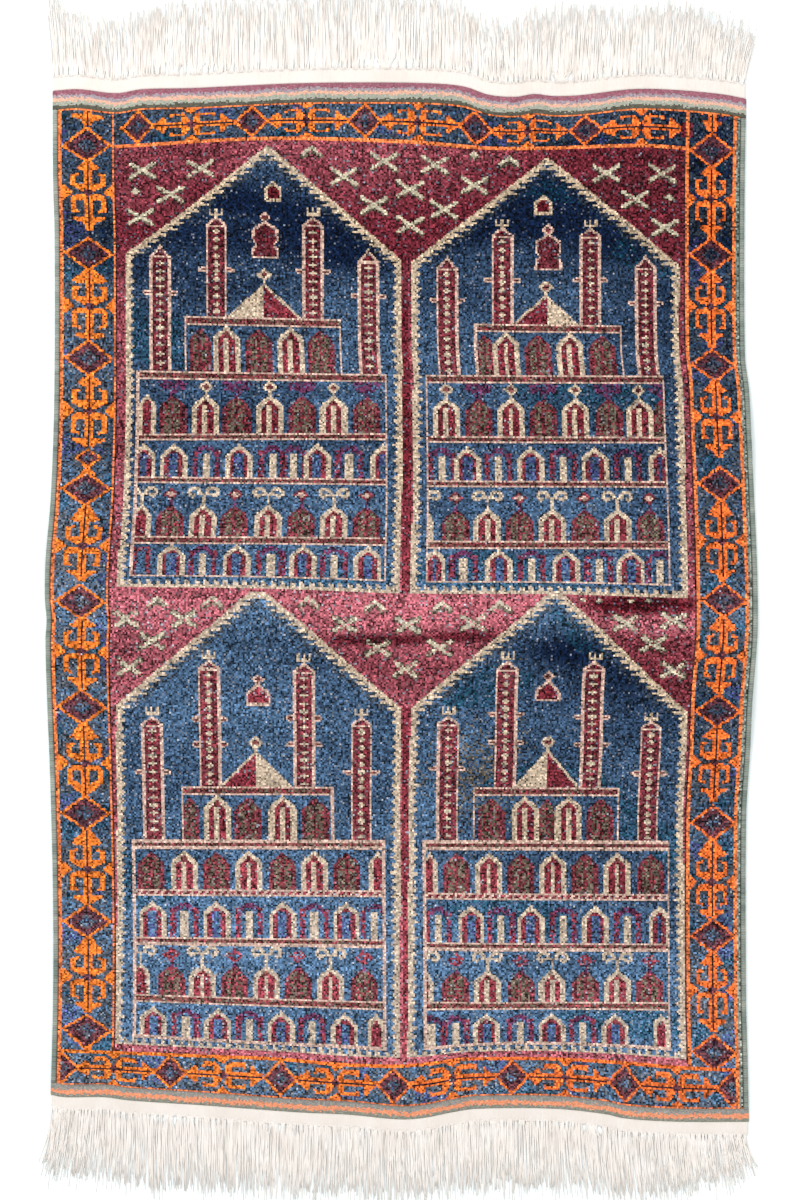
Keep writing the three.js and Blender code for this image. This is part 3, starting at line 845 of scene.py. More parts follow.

# how far each knot goes from its deep to its light colour: painted sheen by height, lighter low on the rug
# and at the crease, streaks of dye along the weft, and some places that are lighter or darker, as dye
# changes, painted sheen and painted shade and highlights of the crease: place, reach across and down, change
paintedSheenByHeight = [
    (105, 0.3), (190, 0.12), (240, 0.02), (285, 0.3), (330, 0.42), (400, 0.4), (480, 0.5), (560, 0.62),
    (592, 0.8), (606, 1.0), (640, 0.62), (700, 0.5), (760, 0.45), (840, 0.6), (950, 0.9), (1100, 1.0),
]
dyeAndLightPatches = [
    (425, 800, 26, 34, 0.35), (458, 740, 24, 22, 0.3), (430, 975, 30, 22, 0.3), (150, 640, 60, 30, 0.12),
    (395, 610, 40, 12, 0.35), (400, 1000, 14, 60, 0.25), (560, 1000, 110, 20, 0.12), (375, 640, 46, 5, -1.2),
    (640, 605, 62, 9, -1.5), (658, 626, 38, 5, 0.8), (470, 611, 32, 9, 0.35), (465, 636, 34, 5, -0.9),
    (660, 643, 36, 9, -0.3), (565, 648, 52, 22, -0.35), (265, 158, 28, 16, 0.2), (550, 840, 100, 30, -0.15),
    (640, 330, 60, 40, -0.18), (300, 620, 90, 60, -0.08), (670, 960, 30, 90, -0.12), (660, 165, 60, 40, -0.3),
    (640, 705, 120, 70, -0.26), (405, 400, 9, 130, -0.35), (75, 560, 26, 420, 0.3),
    (230, 860, 110, 130, 0.14), (560, 870, 110, 110, -0.1),
]
dyeAndLightTone = readTable(paintedSheenByHeight, pictureY) + 0.14 * patches(20, 53, 3) + 0.08 * patches(6, 59, 5)
# painted shade: darker towards the upper right
dyeAndLightTone = dyeAndLightTone - 0.1 * ease((pictureX - 420) / 320) * ease((700 - pictureY) / 300)


# Bell of height 1 round a place: exp(-a^power - b^2), a and b the distances over the reaches
def bell(middleX, middleY, reachX, reachY, power=2):
    return np.exp(-((pictureX - middleX) / reachX) ** power - ((pictureY - middleY) / reachY) ** 2)


# Knots that have one of the yarns
def knotsOf(*names):
    return np.isin(yarnChart, [yarnNames.index(name) for name in names])


# patches of dye change, of painted sheen, and the painted shade and highlights along the crease at mid length
for *place, change in dyeAndLightPatches:
    dyeAndLightTone += change * bell(*place)
# knots of other yarns: a greyed patch, painted shade in the crease under the fold as darker red knots, odd
# grey ones, and the paler orange of the left side
paint(knotsOf("navy"), "olive", 0.5 * bell(478, 775, 40, 42))
paintedCreaseShade = np.maximum(bell(645, 605, 55, 10, power=4), 0.4 * bell(690, 680, 60, 50))
# painted shade: darker red knots in the crease
paint(knotsOf("madder") & (rng.random(yarnChart.shape) < paintedCreaseShade), "wine")
deepKnots = knotsOf("navy", "madder", "ink", "wine", "umber")
paint(deepKnots & (rng.random(yarnChart.shape) < pile["strayShare"]), "ash")
paint(knotsOf("orange") & (fleck > ease((pictureX - 120) / 520)), "amber")
print("rug: pattern chart of", yarnChart.size, "knots")


# Faces over a grid of rows by columns of points, turned round where under is set
def gridFaces(rows, columns, under=False):
    corner = (np.arange(rows - 1)[:, None] * columns + np.arange(columns - 1)).ravel()
    faces = np.stack([corner, corner + 1, corner + columns + 1, corner + columns], 1)
    return faces[:, ::-1] if under else faces


# Neighbouring points along the sides of a grid, in the order that makes walls face outwards
def gridRims(rows, columns, left=True, right=True):
    index = np.arange(rows * columns).reshape(rows, columns)
    rims = [(index[0, :-1], index[0, 1:]), (index[-1, 1:], index[-1, :-1])]
    if left:
        rims.append((index[1:, 0], index[:-1, 0]))
    if right:
        rims.append((index[:-1, -1], index[1:, -1]))
    return [np.concatenate(ends) for ends in zip(*rims)]


# Walls from a grid's rims down to its lower copy, whose points follow those of the grid
def rimWalls(rimStart, rimEnd, size):
    return np.stack([rimStart + size, rimEnd + size, rimEnd, rimStart], 1)


# Points of an upper grid and of its lower copy, in one list
def twoLayers(x, y, high, low):
    return np.concatenate([np.stack([x, y, z], -1).reshape(-1, 3) for z in (high, low)])


# A mesh from points in millimetres and quads, with values on its faces and a bake map
def addPiece(name, points, quads, values=None, uv=None, triangles=None, smooth=False):
    at = (np.asarray(points, float) + (shiftX, shiftY, 0)) / 1000
    mesh = bpy.data.meshes.new(name)
    mesh.vertices.add(len(at))
    mesh.vertices.foreach_set("co", at.ravel())
    loops = quads.ravel()
    starts = np.arange(0, len(loops), 4)
    if triangles is not None:
        starts = np.concatenate([starts, len(loops) + np.arange(0, triangles.size, 3)])
        loops = np.concatenate([loops, triangles.ravel()])
    mesh.loops.add(len(loops))
    mesh.loops.foreach_set("vertex_index", loops.astype(np.int32))
    mesh.polygons.add(len(starts))
    mesh.polygons.foreach_set("loop_start", starts.astype(np.int32))
    mesh.update(calc_edges=True)
    mesh.polygons.foreach_set("use_smooth", np.full(len(starts), smooth))
    for label, numbers in (values or {}).items():
        layer = mesh.attributes.new(label, "FLOAT", "FACE")
        layer.data.foreach_set("value", np.asarray(numbers, np.float32).ravel())
    if uv is not None:
        mesh.uv_layers.new(name="OFBake").data.foreach_set("uv", np.asarray(uv, np.float32).ravel())
    piece = bpy.data.objects.new(name, mesh)
    bpy.context.scene.collection.objects.link(piece)
    return piece


# Depth of the old folds at a place: for each one (1 - d^2)^2, d the distance over the half width
def foldDepth(x, y):
    depth = np.zeros(x.shape)
    for start, end, halfWidth, deep in pile["folds"]:
        run = np.subtract(end, start)
        t = np.clip(((x - start[0]) * run[0] + (y - start[1]) * run[1]) / (run @ run), 0, 1)
        sway = 3 * np.sin(t * 7)
        away = np.hypot(x - start[0] - t * run[0], y - start[1] - t * run[1] + sway) / halfWidth
        depth = np.maximum(depth, deep * (1 - np.minimum(away, 1) ** 2) ** 2)
    return depth


# Corners of all knots: the sheet's points, raised by the pile, which falls off at the rims
def pileCorners():
    u = np.linspace(pileLeft, pileRight, cloth["knotsAcross"] + 1)
    gridV = knotShare(u, np.linspace(bottomRow, topRow, cloth["knotsAlong"] + 1))
    gridU = np.broadcast_to(u, gridV.shape)
    x, y = sheetPoint(gridU, gridV)
    low = lift(x, y)
    fromEnd = np.minimum(gridV - pileBottom, pileTop - gridV) * clothLength
    fromSide = np.minimum(gridU - pileLeft, pileRight - gridU) * clothWidth
    rise = 0.35 + 0.65 * ease(fromEnd / cloth["shoulder"])
    high = low + cloth["bandHeight"] + (cloth["pileHeight"] - cloth["bandHeight"]) * rise
    high = high - pile["rimRound"] * (1 - ease(fromSide / pile["rimWidth"])) - foldDepth(x, y)
    inner = (fromEnd > 1) & (fromSide > 1)
    x = x + rng.uniform(-1, 1, x.shape) * pile["jitter"] * inner
    y = y + rng.uniform(-1, 1, x.shape) * pile["jitter"] * inner
    high = high + rng.uniform(-1, 1, x.shape) * pile["uneven"] * (0.4 + 0.6 * inner)
    return x, y, low, high


pileX, pileY, pileLow, pileHigh = pileCorners()
knotShade = rng.normal(0, 1, yarnChart.shape)
for (share, change), side in ((pile["pale"], 1), (pile["dark"], -1)):
    knotShade = knotShade + side * change * (rng.random(yarnChart.shape) < share)
# painted shade: knots whose tone falls below zero, in the crease troughs, are darker still
knotShade = knotShade + 1.6 * np.minimum(dyeAndLightTone, 0)
bounds = np.linspace(0, cloth["knotsAcross"], cloth["steps"] + 1).astype(int)
rowSplit = cloth["knotsAlong"] // 2


# Place on a bake map of a share from 0 to 1, with a narrow margin at both ends
def onMap(share):
    return 0.01 + 0.98 * share


# Yarn, shade, and tone of dye change with painted sheen and shade, of knots, for a mesh's faces
def knotValues(knotRow, knotColumn):
    charts = (("yarn", yarnChart), ("shade", knotShade), ("dye_and_light", dyeAndLightTone))
    return {label: chart[knotRow, knotColumn] for label, chart in charts}


# One strip of the pile: a face for each knot, with walls at the rug's rims but not between
# strips. Its bake map has the strip's lower half on the left and its upper half on the right
def pileStrip(k, first, last):
    count = last - first + 1
    rows = cloth["knotsAlong"] + 1
    cut = (slice(None), slice(first, last + 1))
    points = twoLayers(pileX[cut], pileY[cut], pileHigh[cut], pileLow[cut])
    size = rows * count
    quads = gridFaces(rows, count)
    rimStart, rimEnd = gridRims(rows, count, left=k == 0, right=k == cloth["steps"] - 1)
    faces = np.concatenate([quads, rimWalls(rimStart, rimEnd, size)])
    corner = faces % size
    atRow, atColumn = corner // count, corner % count
    part = (atRow.min(1) >= rowSplit)[:, None]
    below = faces >= size
    across = onMap(atColumn / (count - 1))
    along = onMap((atRow - part * rowSplit) / rowSplit)
    across = across + 0.006 * below * ((atColumn == count - 1) * 1.0 - (atColumn == 0))
    along = along + 0.005 * below * ((atRow == rows - 1) * 1.0 - (atRow == 0))
    bake = np.stack([(across + part) / 2, along], -1)
    knot = np.concatenate([quads[:, 0], np.minimum(rimStart, rimEnd)])
    knotRow = np.minimum(knot // count, rows - 2)
    knotColumn = np.minimum(knot % count, count - 2) + first
    return addPiece(f"pile_{k + 1}", points, faces, knotValues(knotRow, knotColumn), bake)


strips = [pileStrip(k, bounds[k], bounds[k + 1]) for k in range(cloth["steps"])]
print("rug: pile in", len(strips), "strips")

# The underside, two knots a face, with the pattern showing through as it does on a knotted rug
backU = np.linspace(pileLeft, pileRight, cloth["knotsAcross"] // 2 + 1)
backV = knotShare(backU, np.linspace(bottomRow, topRow, cloth["knotsAlong"] // 2 + 1))
backX, backY = sheetPoint(np.broadcast_to(backU, backV.shape), backV)
backRidge = 0.22 * (np.arange(len(backV)) % 2)[:, None]
backZ = lift(backX, backY) + backRidge
backPoints = np.stack([backX, backY, backZ], -1).reshape(-1, 3)
backFaces = gridFaces(len(backV), len(backU), under=True)
backCells = backFaces.min(1)
backRow, backColumn = 2 * (backCells // len(backU)), 2 * (backCells % len(backU))
backAcross = (backFaces % len(backU)) / (len(backU) - 1)
backAlong = (backFaces // len(backU)) / (len(backV) - 1)
backUv = onMap(np.stack([backAcross, backAlong], -1))
knottedBack = addPiece("knotted_back", backPoints, backFaces, knotValues(backRow, backColumn), backUv)
print("rug: back of the knots")

stripes = {
    "columns": 420,
    "topRows": 17,
    "bottomRows": 11,
    "rib": 0.2,             # ripple of the wefts
    "wander": 0.5,          # how far a stripe's border strays
    "blend": 0.9,           # and how far single wefts cross it
    "sideRoll": (0.9, 3),   # how much lower the sides are, and over what width
    "endRoll": (0.8, 2),    # the same at the end
    "pale": (0.12, 2),      # share of paler places, and by how much
    # distance from the cloth's end at which each stripe stops, and its colour
    "top": [(6.4, "plumPink"), (10.4, "lilacGrey"), (14.6, "salmon"), (19.8, "sage"), (26, "darkOlive")],
    "bottom": [(4.4, "oliveGrey"), (9.9, "peach"), (18, "greyGreen")],
}
stripeYarns = {
    "plumPink": "965f6c", "lilacGrey": "a0929a", "salmon": "dfae96", "sage": "a3a698", "darkOlive": "58574c",
    "oliveGrey": "88887c", "peach": "e2926e", "greyGreen": "92908a",
}
stripeNames = list(stripeYarns)


# A closed slab over rows and columns of the cloth's end, its top rippled by rows set alternately up and down
# and by random jitter
def stripedEnd(name, isTop):
    length = cloth["topBand"] if isTop else cloth["bottomBand"]
    rows = stripes["topRows"] if isTop else stripes["bottomRows"]
    u = np.linspace(0, 1, stripes["columns"] + 1)
    v = np.linspace(pileTop, 1, rows + 1) if isTop else np.linspace(0, pileBottom, rows + 1)
    gridU, gridV = np.meshgrid(u, v)
    x, y = sheetPoint(gridU, gridV)
    low = lift(x, y)
    fromSide = np.minimum(gridU * clothWidth, (1 - gridU) * clothWidth)
    fromEdge = (1 - gridV if isTop else gridV) * clothLength
    fall = 0
    for (drop, width), away in ((stripes["sideRoll"], fromSide), (stripes["endRoll"], fromEdge)):
        fall = fall + drop * (1 - ease(away / width))
    ripple = stripes["rib"] * (np.arange(rows + 1) % 2 - 0.5)[:, None]
    ripple = ripple + stripes["rib"] * rng.uniform(-1, 1, x.shape)
    high = low + cloth["bandHeight"] - fall + ripple
    columns = len(u)
    size = x.size
    upper = gridFaces(rows + 1, columns)
    lower = gridFaces(rows + 1, columns, under=True) + size
    rimStart, rimEnd = gridRims(rows + 1, columns)
    faces = np.concatenate([upper, lower, rimWalls(rimStart, rimEnd, size)])
    cells = np.concatenate([upper.min(1), (lower - size).min(1), np.minimum(rimStart, rimEnd)])
    weft = np.minimum(cells // columns, rows - 1)
    warp = cells % columns
    away = (rows - weft - 0.5 if isTop else weft + 0.5) * length / rows
    away = away + stripes["wander"] * (np.sin(warp / 11) + np.sin(warp / 4.3 + 2))
    away = away + stripes["blend"] * rng.normal(0, 1, len(faces))
    stops = stripes["top"] if isTop else stripes["bottom"]
    order = np.searchsorted([stop for stop, _ in stops], away)
    stopYarns = np.array([stripeNames.index(label) for _, label in stops])
    yarn = stopYarns[np.clip(order, 0, len(stops) - 1)]
    paleShare, paleShade = stripes["pale"]
    shade = rng.normal(0, 1, len(faces)) + paleShade * (rng.random(len(faces)) < paleShare)
    # bake map: the upper side in the lower half, the underside in the upper half
    cornerRow, cornerColumn = (faces % size) // columns, (faces % size) % columns
    lowerSide = np.zeros((len(faces), 1))
    lowerSide[len(upper):len(upper) + len(lower)] = 1
    hanging = (faces >= size) & (lowerSide == 0)
    along = cornerRow / rows * 0.44 + 0.04 + 0.5 * lowerSide
    along = along - np.where(hanging & (cornerRow == 0), 0.02, 0)
    along = along + np.where(hanging & (cornerRow == rows), 0.02, 0)
    across = onMap(cornerColumn / (columns - 1))
    bake = np.stack([across, along], -1)
    points = twoLayers(x, y, high, low)
    return addPiece(name, points, faces, {"yarn": yarn, "shade": shade}, bake)


bandTop = stripedEnd("striped_end_top", True)
bandBottom = stripedEnd("striped_end_bottom", False)
print("rug: striped ends")

overcast = {
    "pitch": 3.1,           # one turn of the yarn
    "ringsPerTurn": 3,
    "width": 7.5,
    "height": 6.2,
    "swell": 0.42,          # how far a turn stands proud
    "sections": 9,
    "slant": 1.4,           # how far a turn leans along the cord, in radians of the swell
    "heel": 0.9,            # height of the widest place over the floor
    "tuck": 0.16,           # how far the section goes on past its widest places, in radians
    "endRoom": 0.3,         # clearance to the striped ends
}


# A cord along the side: a half-round section swept along the edge, swelling once a turn
def overcastSide(name, side):
    length = (pileTop - pileBottom) * clothLength
    turns = int(length / overcast["pitch"])
    rings = turns * overcast["ringsPerTurn"] + 1
    endRoom = overcast["endRoom"] / clothLength
    v = np.linspace(pileBottom + endRoom, pileTop - endRoom, rings)
    rim = np.full(rings, 0.0 if side < 0 else 1.0)
    rimX, rimY = sheetPoint(rim, v)
    angle = np.linspace(-overcast["tuck"], np.pi + overcast["tuck"], overcast["sections"])
    phase = 2 * np.pi * (np.arange(rings) / overcast["ringsPerTurn"])[:, None]
    bump = overcast["swell"] * np.cos(phase + overcast["slant"] * np.cos(angle)[None, :])
    across = 0.5 * overcast["width"] + bump * 0.5
    up = overcast["height"] - overcast["heel"] + bump
    middle = rimX - side * 0.5 * overcast["width"]
    x = middle[:, None] + np.cos(angle)[None, :] * across
    base = lift(middle, rimY)
    z = base[:, None] + np.maximum(overcast["heel"] + np.sin(angle)[None, :] * up, 0.0)
    y = np.broadcast_to(rimY[:, None], x.shape)
    points = np.stack([x, y, z], -1).reshape(-1, 3)
    sections = overcast["sections"]
    index = np.arange(rings * sections).reshape(rings, sections)
    around = np.concatenate([index, index[:, :1]], 1)
    a, b = around[:-1, :-1].ravel(), around[:-1, 1:].ravel()
    c, d = around[1:, 1:].ravel(), around[1:, :-1].ravel()
    quads = np.stack([d, c, b, a], 1)
    firstCap = np.stack([np.full(sections - 2, index[0, 0]), index[0, 1:-1], index[0, 2:]], 1)
    lastCap = np.stack([np.full(sections - 2, index[-1, 0]), index[-1, 2:], index[-1, 1:-1]], 1)
    caps = np.concatenate([firstCap, lastCap])
    ring = np.minimum(quads.min(1) // sections, rings - 2)
    section = np.arange(len(quads)) % sections
    yarnTurn = ring // overcast["ringsPerTurn"]
    turnShade = rng.normal(0, 1, turns + 2)[yarnTurn]
    # painted shade: the ring in the groove of each turn is marked to be coloured darker
    paintedGrooveShade = (ring % overcast["ringsPerTurn"] == 1) * 1.0
    shade = np.concatenate([turnShade, np.zeros(len(caps))])
    paintedGrooveShade = np.concatenate([paintedGrooveShade, np.zeros(len(caps))])
    halfway = rings // 2
    faceRing = quads // sections
    part = (ring >= halfway)[:, None]
    across = np.stack([section, section + 1, section + 1, section], 1)
    along = (faceRing - part * halfway) / (halfway + 1)
    bake = np.stack([(0.02 + 0.96 * across / sections + part) / 2, onMap(along)], -1).reshape(-1, 2)
    bake = np.concatenate([bake, np.full((caps.size, 2), 0.5)])
    return addPiece(name, points, quads, {"shade": shade, "paintedGrooveShade": paintedGrooveShade}, bake, caps, smooth=True)


sideLeft = overcastSide("overcast_left", -1)
sideRight = overcastSide("overcast_right", 1)
print("rug: overcast sides")

fringe = {
    "gap": 0.2,
    "stripHeight": 2.3,
    "topStrip": 19.0,
    "bottomStrip": 16.5,
    "stripColumns": 560,
    "stripRows": 8,
    "strands": 1700,        # at each end
    "sides": 3,
    "rings": 9,
    "halfWidth": 0.72,
    "halfHeight": 0.34,
    "bundle": 8,            # strands that leave the weave together
    "uneven": 9.0,          # spread of their lengths
    "short": (0.1, 0.6, 0.95),  # share of shorter strands, and how long they are, least and most
    "stray": (2.0, 1.1),    # spread of the lean, for single strands and for bundles
    "sway": (0.2, 0.9),
    "gather": (0.1, 0.6),   # how far strands close up on their bundle's middle
    "dark": (0.1, 2.4),     # share of darker strands, and by how much
    # place across, length of the strands, and how far their tips lean
    "top": [(-440, 112, -9), (-426, 104, -8), (-415, 76, -4), (-350, 72, -2), (-300, 86, 4), (-120, 90, -3),
            (20, 92, 3), (85, 78, -2), (112, 68, -4), (170, 84, 3), (235, 92, 5), (275, 78, 3), (350, 86, 6),
            (400, 76, 8), (425, 70, 12), (440, 62, 16)],
    "bottom": [(-440, 78, -14), (-380, 84, -6), (-300, 90, 2), (-100, 84, -2), (0, 82, 2), (150, 86, 2),
               (280, 80, 8), (350, 72, 7), (400, 60, 8), (425, 52, 11), (440, 44, 16)],
}


# Strip of plain weave that holds the fringe: a closed slab with a fine ripple
def plainStrip(name, isTop):
    side = 1 if isTop else -1
    length = fringe["topStrip"] if isTop else fringe["bottomStrip"]
    u = np.linspace(0.0015, 0.9985, fringe["stripColumns"] + 1)
    offsets = np.linspace(fringe["gap"], length, fringe["stripRows"] + 1)
    offsets = offsets if isTop else offsets[::-1]
    gridU, gridO = np.meshgrid(u, offsets)
    x, y = sheetPoint(gridU, np.full(gridU.shape, 1.0 if isTop else 0.0))
    rough = rng.uniform(-1, 1, x.shape)
    outer = gridO > length - 1
    y = y + side * gridO + side * outer * 1.1 * rough
    share = (gridO - fringe["gap"]) / (length - fringe["gap"])
    high = fringe["stripHeight"] - 0.7 * share**2 + 0.16 * rough + 0.15 * np.sin(x / 2.1)
    points = twoLayers(x, y, high, np.full(x.shape, 0.05))
    columns, rows = len(u), len(offsets)
    lower = gridFaces(rows, columns, under=True) + x.size
    walls = rimWalls(*gridRims(rows, columns), x.size)
    faces = np.concatenate([gridFaces(rows, columns), lower, walls])
    return addPiece(name, points, faces, {"shade": rng.normal(0, 1, len(faces))}, smooth=True)


# Strands: a flat three-sided section swept down a path that leaves the strip with its
# neighbours, spreads from them, falls to the floor, sways as a sine and leans with t^1.5
def strands(name, isTop):
    side = 1 if isTop else -1
    edge = topEdge if isTop else bottomEdge
    strip = fringe["topStrip"] if isTop else fringe["bottomStrip"]
    table = np.array(fringe["top"] if isTop else fringe["bottom"], float)
    count, rings, sides = fringe["strands"], fringe["rings"], fringe["sides"]
    firstX, lastX = edge[0][0] + 1.5, edge[-1][0] - 1.5
    rootX = np.linspace(firstX, lastX, count) + rng.uniform(-0.4, 0.4, count)
    inset = rng.uniform(1.5, 3.5, count)
    rootY = readTable(edge, rootX) + side * (strip - inset)
    length = np.interp(rootX, table[:, 0], table[:, 1]) + rng.normal(0, 1, count) * fringe["uneven"]
    shortShare, shortest, longest = fringe["short"]
    isShort = rng.random(count) < shortShare
    length = np.maximum(length, 20) * np.where(isShort, rng.uniform(shortest, longest, count), 1)
    strayStrand, strayBundle = fringe["stray"]
    lean = np.interp(rootX, table[:, 0], table[:, 2]) + rng.normal(0, strayStrand, count)
    bundle = np.cumsum(rng.random(count) < 1 / fringe["bundle"])
    bundles = bundle.max() + 1
    lean = lean + rng.normal(0, strayBundle, bundles)[bundle]
    middle = np.bincount(bundle, rootX, bundles) / np.maximum(np.bincount(bundle, minlength=bundles), 1)
    toMiddle = middle[bundle] - rootX
    part = np.linspace(0, 1, rings)[None, :] ** 1.25
    sway = rng.uniform(*fringe["sway"], count)[:, None]
    wave = sway * np.sin(part * rng.uniform(3, 8, count)[:, None] + rng.uniform(0, 6.28, count)[:, None])
    tight = rng.uniform(*fringe["gather"], bundles)[bundle]
    gather = (toMiddle * tight)[:, None] * np.exp(-((part - 0.05) / 0.08) ** 2)
    x = rootX[:, None] + lean[:, None] * part**1.5 + wave * part + gather
    y = rootY[:, None] + side * part * length[:, None]
    taper = rng.uniform(0.85, 1.15, count)[:, None] * (1 - 0.55 * part**5)
    wide, tall = fringe["halfWidth"] * taper, fringe["halfHeight"] * taper
    rest = tall + rng.uniform(0, 0.9, count)[:, None] * (1 - 0.4 * part)
    onStrip = fringe["stripHeight"] - 0.6 + 0.3 * rng.random(count)[:, None]
    fall = ease((inset[:, None] + 4 - part * length[:, None]) / 5)
    z = rest + (np.maximum(onStrip, rest) - rest) * fall
    along = np.stack([np.gradient(x, axis=1), np.gradient(y, axis=1)], -1)
    along = along / np.linalg.norm(along, axis=2, keepdims=True)
    turn = (np.arange(sides) / sides * 2 * np.pi + np.pi / 2)[None, None, :]
    ringX = x[:, :, None] + along[:, :, 1, None] * np.cos(turn) * wide[:, :, None]
    ringY = y[:, :, None] - along[:, :, 0, None] * np.cos(turn) * wide[:, :, None]
    ringZ = np.maximum(z[:, :, None] + np.sin(turn) * tall[:, :, None], 0.0)
    points = np.stack([ringX, ringY, ringZ], -1).reshape(-1, 3)
    index = np.arange(count * rings * sides).reshape(count, rings, sides)
    around = np.concatenate([index, index[:, :, :1]], 2)
    a, b = around[:, :-1, :-1], around[:, :-1, 1:]
    c, d = around[:, 1:, 1:], around[:, 1:, :-1]
    quads = np.stack([a, d, c, b], -1).reshape(-1, 4)
    caps = np.concatenate([index[:, 0, [0, 1, 2]], index[:, -1, [0, 2, 1]]])
    darkShare, darkShade = fringe["dark"]
    tone = rng.normal(0, 1, count) - darkShade * (rng.random(count) < darkShare)
    shade = np.concatenate([np.repeat(tone, (rings - 1) * sides), tone, tone])
    return addPiece(name, points, quads, {"shade": shade}, None, caps, smooth=True)


stripTop = plainStrip("plain_strip_top", True)
stripBottom = plainStrip("plain_strip_bottom", False)
strandsTop = strands("strands_top", True)
strandsBottom = strands("strands_bottom", False)
print("rug: plain strips and fringe")


# sRGB hex to linear colour
def colour(text):
    parts = np.array([int(text[i:i + 2], 16) / 255 for i in (0, 2, 4)])
    linear = np.where(parts <= 0.04045, parts / 12.92, ((parts + 0.055) / 1.055) ** 2.4)
    return (*linear.tolist(), 1.0)


def addNode(tree, kind, inputs=None, **settings):
    node = tree.nodes.new(kind)
    for label, value in settings.items():
        setattr(node, label, value)
    for label, value in (inputs or {}).items():
        if isinstance(value, bpy.types.NodeSocket):
            tree.links.new(value, node.inputs[label])
        else:
            node.inputs[label].default_value = value
    return node


def mathNode(tree, operation, first, second=0.0, third=0.0):
    return addNode(tree, "ShaderNodeMath", {0: first, 1: second, 2: third}, operation=operation).outputs[0]


def newGroup(name, inputs, outputs):
    group = bpy.data.node_groups.new(name, "ShaderNodeTree")
    for label, kind, value in inputs:
        socket = group.interface.new_socket(label, in_out="INPUT", socket_type=kind)
        if value is not None:
            socket.default_value = value
    for label, kind in outputs:
        group.interface.new_socket(label, in_out="OUTPUT", socket_type=kind)
    return group, group.nodes.new("NodeGroupInput").outputs, group.nodes.new("NodeGroupOutput").inputs


# Wool grain: colour made lighter or darker by a shade for each knot, random and on the pile also painted
# shade in the crease, less so for pale yarns, by a fine noise of fibre and by broad noise along the weft, the
# changes called abrash
def woolGrain():
    group, given, out = newGroup(
        "woolGrain",
        [("Colour", "NodeSocketColor", (0.5, 0.5, 0.5, 1)), ("Shade", "NodeSocketFloat", 0.0),
         ("Grain", "NodeSocketFloat", 0.3), ("Fibre", "NodeSocketFloat", 0.3),
         ("Abrash", "NodeSocketFloat", 0.2)],
        [("Colour", "NodeSocketColor"), ("Height", "NodeSocketFloat")],
    )
    place = addNode(group, "ShaderNodeTexCoord").outputs["Object"]
    fibre = addNode(group, "ShaderNodeTexNoise",
                    {"Vector": place, "Scale": 1150.0, "Detail": 2.0, "Roughness": 0.6}).outputs[0]
    stretched = addNode(group, "ShaderNodeMapping", {"Vector": place, "Scale": (1.6, 26.0, 1.0)}).outputs[0]
    abrash = addNode(group, "ShaderNodeTexNoise",
                     {"Vector": stretched, "Scale": 1.0, "Detail": 3.0}).outputs[0]
    fibreSwing = mathNode(group, "MULTIPLY", mathNode(group, "SUBTRACT", fibre, 0.5), given["Fibre"])
    abrashSwing = mathNode(group, "MULTIPLY", mathNode(group, "SUBTRACT", abrash, 0.5), given["Abrash"])
    bright = addNode(group, "ShaderNodeRGBToBW", {"Color": given["Colour"]}).outputs[0]
    darkness = mathNode(group, "MULTIPLY_ADD", bright, -1.35, 1.1)
    depth = mathNode(group, "MULTIPLY", darkness, given["Grain"])
    knotSwing = mathNode(group, "MULTIPLY", given["Shade"], depth)
    total = mathNode(group, "ADD", mathNode(group, "ADD", fibreSwing, abrashSwing), knotSwing)
    factor = mathNode(group, "MAXIMUM", mathNode(group, "ADD", total, 1.0), 0.12)
    scaled = addNode(group, "ShaderNodeVectorMath", {0: given["Colour"], "Scale": factor}, operation="SCALE")
    group.links.new(scaled.outputs[0], out["Colour"])
    group.links.new(fibre, out["Height"])
    return group


# A material with one Principled shader, and its tree
def plainMaterial(name):
    material = bpy.data.materials.new(name)
    material.use_nodes = True
    tree = material.node_tree
    tree.nodes.clear()
    shader = tree.nodes.new("ShaderNodeBsdfPrincipled")
    tree.links.new(shader.outputs[0], tree.nodes.new("ShaderNodeOutputMaterial").inputs[0])
    return material, tree, shader


def attribute(tree, label):
    return addNode(tree, "ShaderNodeAttribute", attribute_name=label).outputs["Fac"]


# Steps of colour, one for each yarn, read by the yarn's number
def yarnRamp(tree, number, colours):
    share = 1 / len(colours)
    middle = mathNode(tree, "MULTIPLY_ADD", number, share, 0.5 * share)
    ramp = addNode(tree, "ShaderNodeValToRGB", {"Fac": middle})
    stops = ramp.color_ramp
    stops.interpolation = "CONSTANT"
    for k, text in enumerate(colours):
        stop = stops.elements[k] if k < 2 else stops.elements.new(k / len(colours))
        stop.position = k / len(colours)
        stop.color = colour(text)
    return ramp.outputs["Color"]


# Two colours in soft broad patches, blended where a noise lies between two values
def broadPatches(tree, place, scale, low, high, dark, pale):
    noise = addNode(tree, "ShaderNodeTexNoise", {"Vector": place, "Scale": scale, "Detail": 3.0}).outputs[0]
    ramp = addNode(tree, "ShaderNodeValToRGB", {"Fac": noise})
    for stop, position, text in zip(ramp.color_ramp.elements, (low, high), (dark, pale)):
        stop.position = position
        stop.color = colour(text)
    return ramp.outputs["Color"]


def ribs(tree, place, scale, distortion):
    inputs = {"Vector": place, "Scale": scale, "Distortion": distortion, "Detail": 1.0}
    return addNode(tree, "ShaderNodeTexWave", inputs, bands_direction="X").outputs["Fac"]


